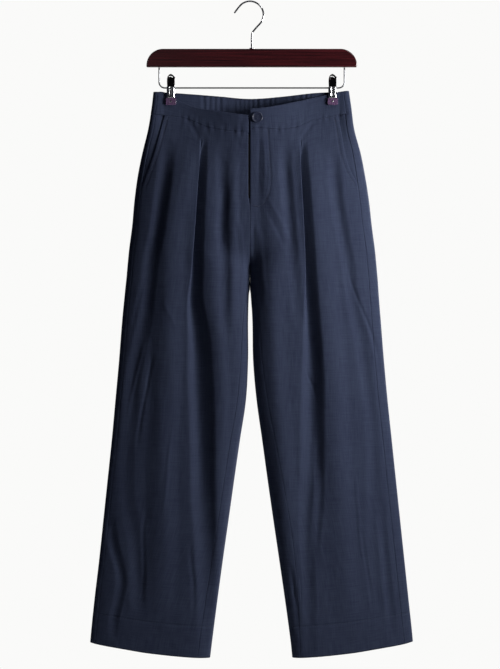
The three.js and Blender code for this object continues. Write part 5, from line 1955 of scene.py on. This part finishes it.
@dataclass
class Button:
    """The four-hole button on the left front waistband."""

    form: ClothForm
    finishes: Finishes
    x: float = 9.5
    z: float = -221.0
    radius: float = 10.5
    thickness: float = 3.0
    dish_depth: float = 0.85
    hole_radius: float = 1.1
    hole_spread: float = 2.0
    seat: float = 0.4
    steps: int = 72

    def frame(self) -> tuple[Array, Array, Array, Array]:
        """Give the button's middle and its across, up and out directions."""
        points, normals = self.form.face_frame(np.array([self.x]), np.array([self.z]))
        out = normals[0]
        up = unit(np.array([0.0, 0.0, 1.0]) - out * out[2])
        lift = self.form.solid_thickness / 2 + self.seat + self.thickness / 2
        return points[0] + out * lift, np.cross(up, out), up, out

    def build(self) -> Piece:
        """Build the button, its holes and its thread."""
        middle, across, up, out = frame = self.frame()
        half, edge = self.thickness / 2, self.radius
        profile = [
            (0.0, -half), (edge - 1.3, -half), (edge - 0.3, -half + 0.6), (edge, 0.0),
            (edge - 0.25, half - 0.45), (edge - 0.9, half), (edge - 1.9, half - 0.05),
            (edge - 2.9, half - 0.65), (edge - 3.6, half - self.dish_depth), (0.0, half - self.dish_depth),
        ]
        points = []
        for radius, height in profile:
            for angle in np.linspace(0, 2 * math.pi, self.steps, endpoint=False):
                ring = across * radius * math.cos(angle) + up * radius * math.sin(angle)
                points.append(middle + ring + out * height)
        faces = ring_faces(len(profile), self.steps)
        piece = make_object("button_polyester", np.array(points), faces, self.finishes.button)
        fix_normals(piece)
        for sx in (-1, 1):
            for sz in (-1, 1):
                centre = middle + across * sx * self.hole_spread + up * sz * self.hole_spread
                cut_out(piece, *tube(np.array([centre - out * 4, centre + out * 4]), self.hole_radius, 20))
        piece.data.polygons.foreach_set("use_smooth", [True] * len(piece.data.polygons))
        piece.data.set_sharp_from_angle(angle=math.radians(40))
        self.build_thread(*frame)
        return hand_over(piece, "button", "button")

    def build_thread(self, middle: Array, across: Array, up: Array, out: Array) -> None:
        """Build the two parallel runs of thread through the holes."""
        parts = []
        top, hole = self.thickness / 2 - self.dish_depth, self.hole_spread
        rises = (
            (-hole, -1.6), (-hole + 0.2, 0.1), (-0.9, 0.42), (0.9, 0.42), (hole - 0.2, 0.1), (hole, -1.6),
        )
        for sz in (-1, 1):
            for shift in (-0.3, 0.3):
                row = middle + up * (sz * hole + shift)
                path = smooth_path([row + across * x + out * (top + rise) for x, rise in rises], 5)
                parts.append(bar("thread", path, 0.3, 8, self.finishes.thread))
        hand_over(join("button_thread", parts), "linen")


@dataclass
class Studio:
    """The camera, the lights and the pale floor."""

    pixels: tuple[int, int] = (500, 669)
    mm_per_pixel: float = 1.9
    middle_z: float = -631.4
    distance: float = 4.5
    sensor: float = 36.0
    floor_z: float = -1900.0
    floor_half: float = 1500.0
    wall: str = "#fafaf9"
    room: str = "#26282e"

    def build_camera(self) -> None:
        """Place the camera level with the middle of the photograph, far enough for a flat view."""
        height = self.pixels[1] * self.mm_per_pixel * MM
        data = bpy.data.cameras.new("camera")
        data.sensor_fit = "VERTICAL"
        data.sensor_height = self.sensor
        data.lens = self.sensor * self.distance / height
        camera = bpy.data.objects.new("camera", data)
        camera.location = (0.0, -self.distance, self.middle_z * MM)
        camera.rotation_euler = (math.pi / 2, 0.0, 0.0)
        bpy.context.scene.collection.objects.link(camera)
        bpy.context.scene.camera = camera

    def add_light(self, name: str, place: tuple[float, float, float], size: float, power: float) -> None:
        """Add a soft square light that looks at the middle of the trousers."""
        data = bpy.data.lights.new(name, "AREA")
        data.shape = "SQUARE"
        data.size = size
        data.energy = power
        light = bpy.data.objects.new(name, data)
        light.location = place
        aim = Vector((0.0, 0.0, self.middle_z * MM)) - Vector(place)
        light.rotation_euler = aim.to_track_quat("-Z", "Y").to_euler()
        bpy.context.scene.collection.objects.link(light)

    def build_world(self) -> None:
        """Set up a dark grey room with a nearly white wall far behind the trousers."""
        world = bpy.data.worlds.new("studio")
        world.use_nodes = True
        tree = world.node_tree
        background = tree.nodes["Background"]
        way = add_node(tree, "ShaderNodeTexCoord").outputs["Generated"]
        behind = add_node(tree, "ShaderNodeSeparateXYZ", {"Vector": way}).outputs["Y"]
        share = remap(tree, behind, 0.78, 0.95, interpolation_type="SMOOTHSTEP")
        feed(tree, background, {"Color": blend(tree, share, self.room, self.wall)})
        bpy.context.scene.world = world
        bpy.context.scene.view_settings.view_transform = "Standard"

    def build(self) -> None:
        """Set up the whole studio."""
        self.build_camera()
        self.add_light("key_light", (1.1, -0.64, -0.27), 0.4, 18.0)
        self.add_light("top_light", (0.8, -0.55, 0.75), 0.4, 4.5)
        self.add_light("fill_light", (-0.9, -3.2, 0.4), 0.2, 1.5)
        self.add_light("back_light", (1.25, 1.1, -0.1), 0.6, 30.0)
        self.build_world()
        half = self.floor_half
        points = [(sx * half, sy * half, self.floor_z) for sx, sy in ((-1, -1), (1, -1), (1, 1), (-1, 1))]
        floor = make_object("floor", np.array(points), [[0, 1, 2, 3]], PaleFloor().make(), smooth=False)


def main() -> None:
    """Build everything in order."""
    logging.basicConfig(level=logging.INFO, format="%(name)s %(message)s")
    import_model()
    finishes = Finishes()
    form = ClothForm()
    Studio().build()
    Trousers(form, finishes).build()
    Sewing(form, finishes).build()
    Button(form, finishes).build()
    Hanger(finishes).build()


if __name__ == "__main__":
    main()
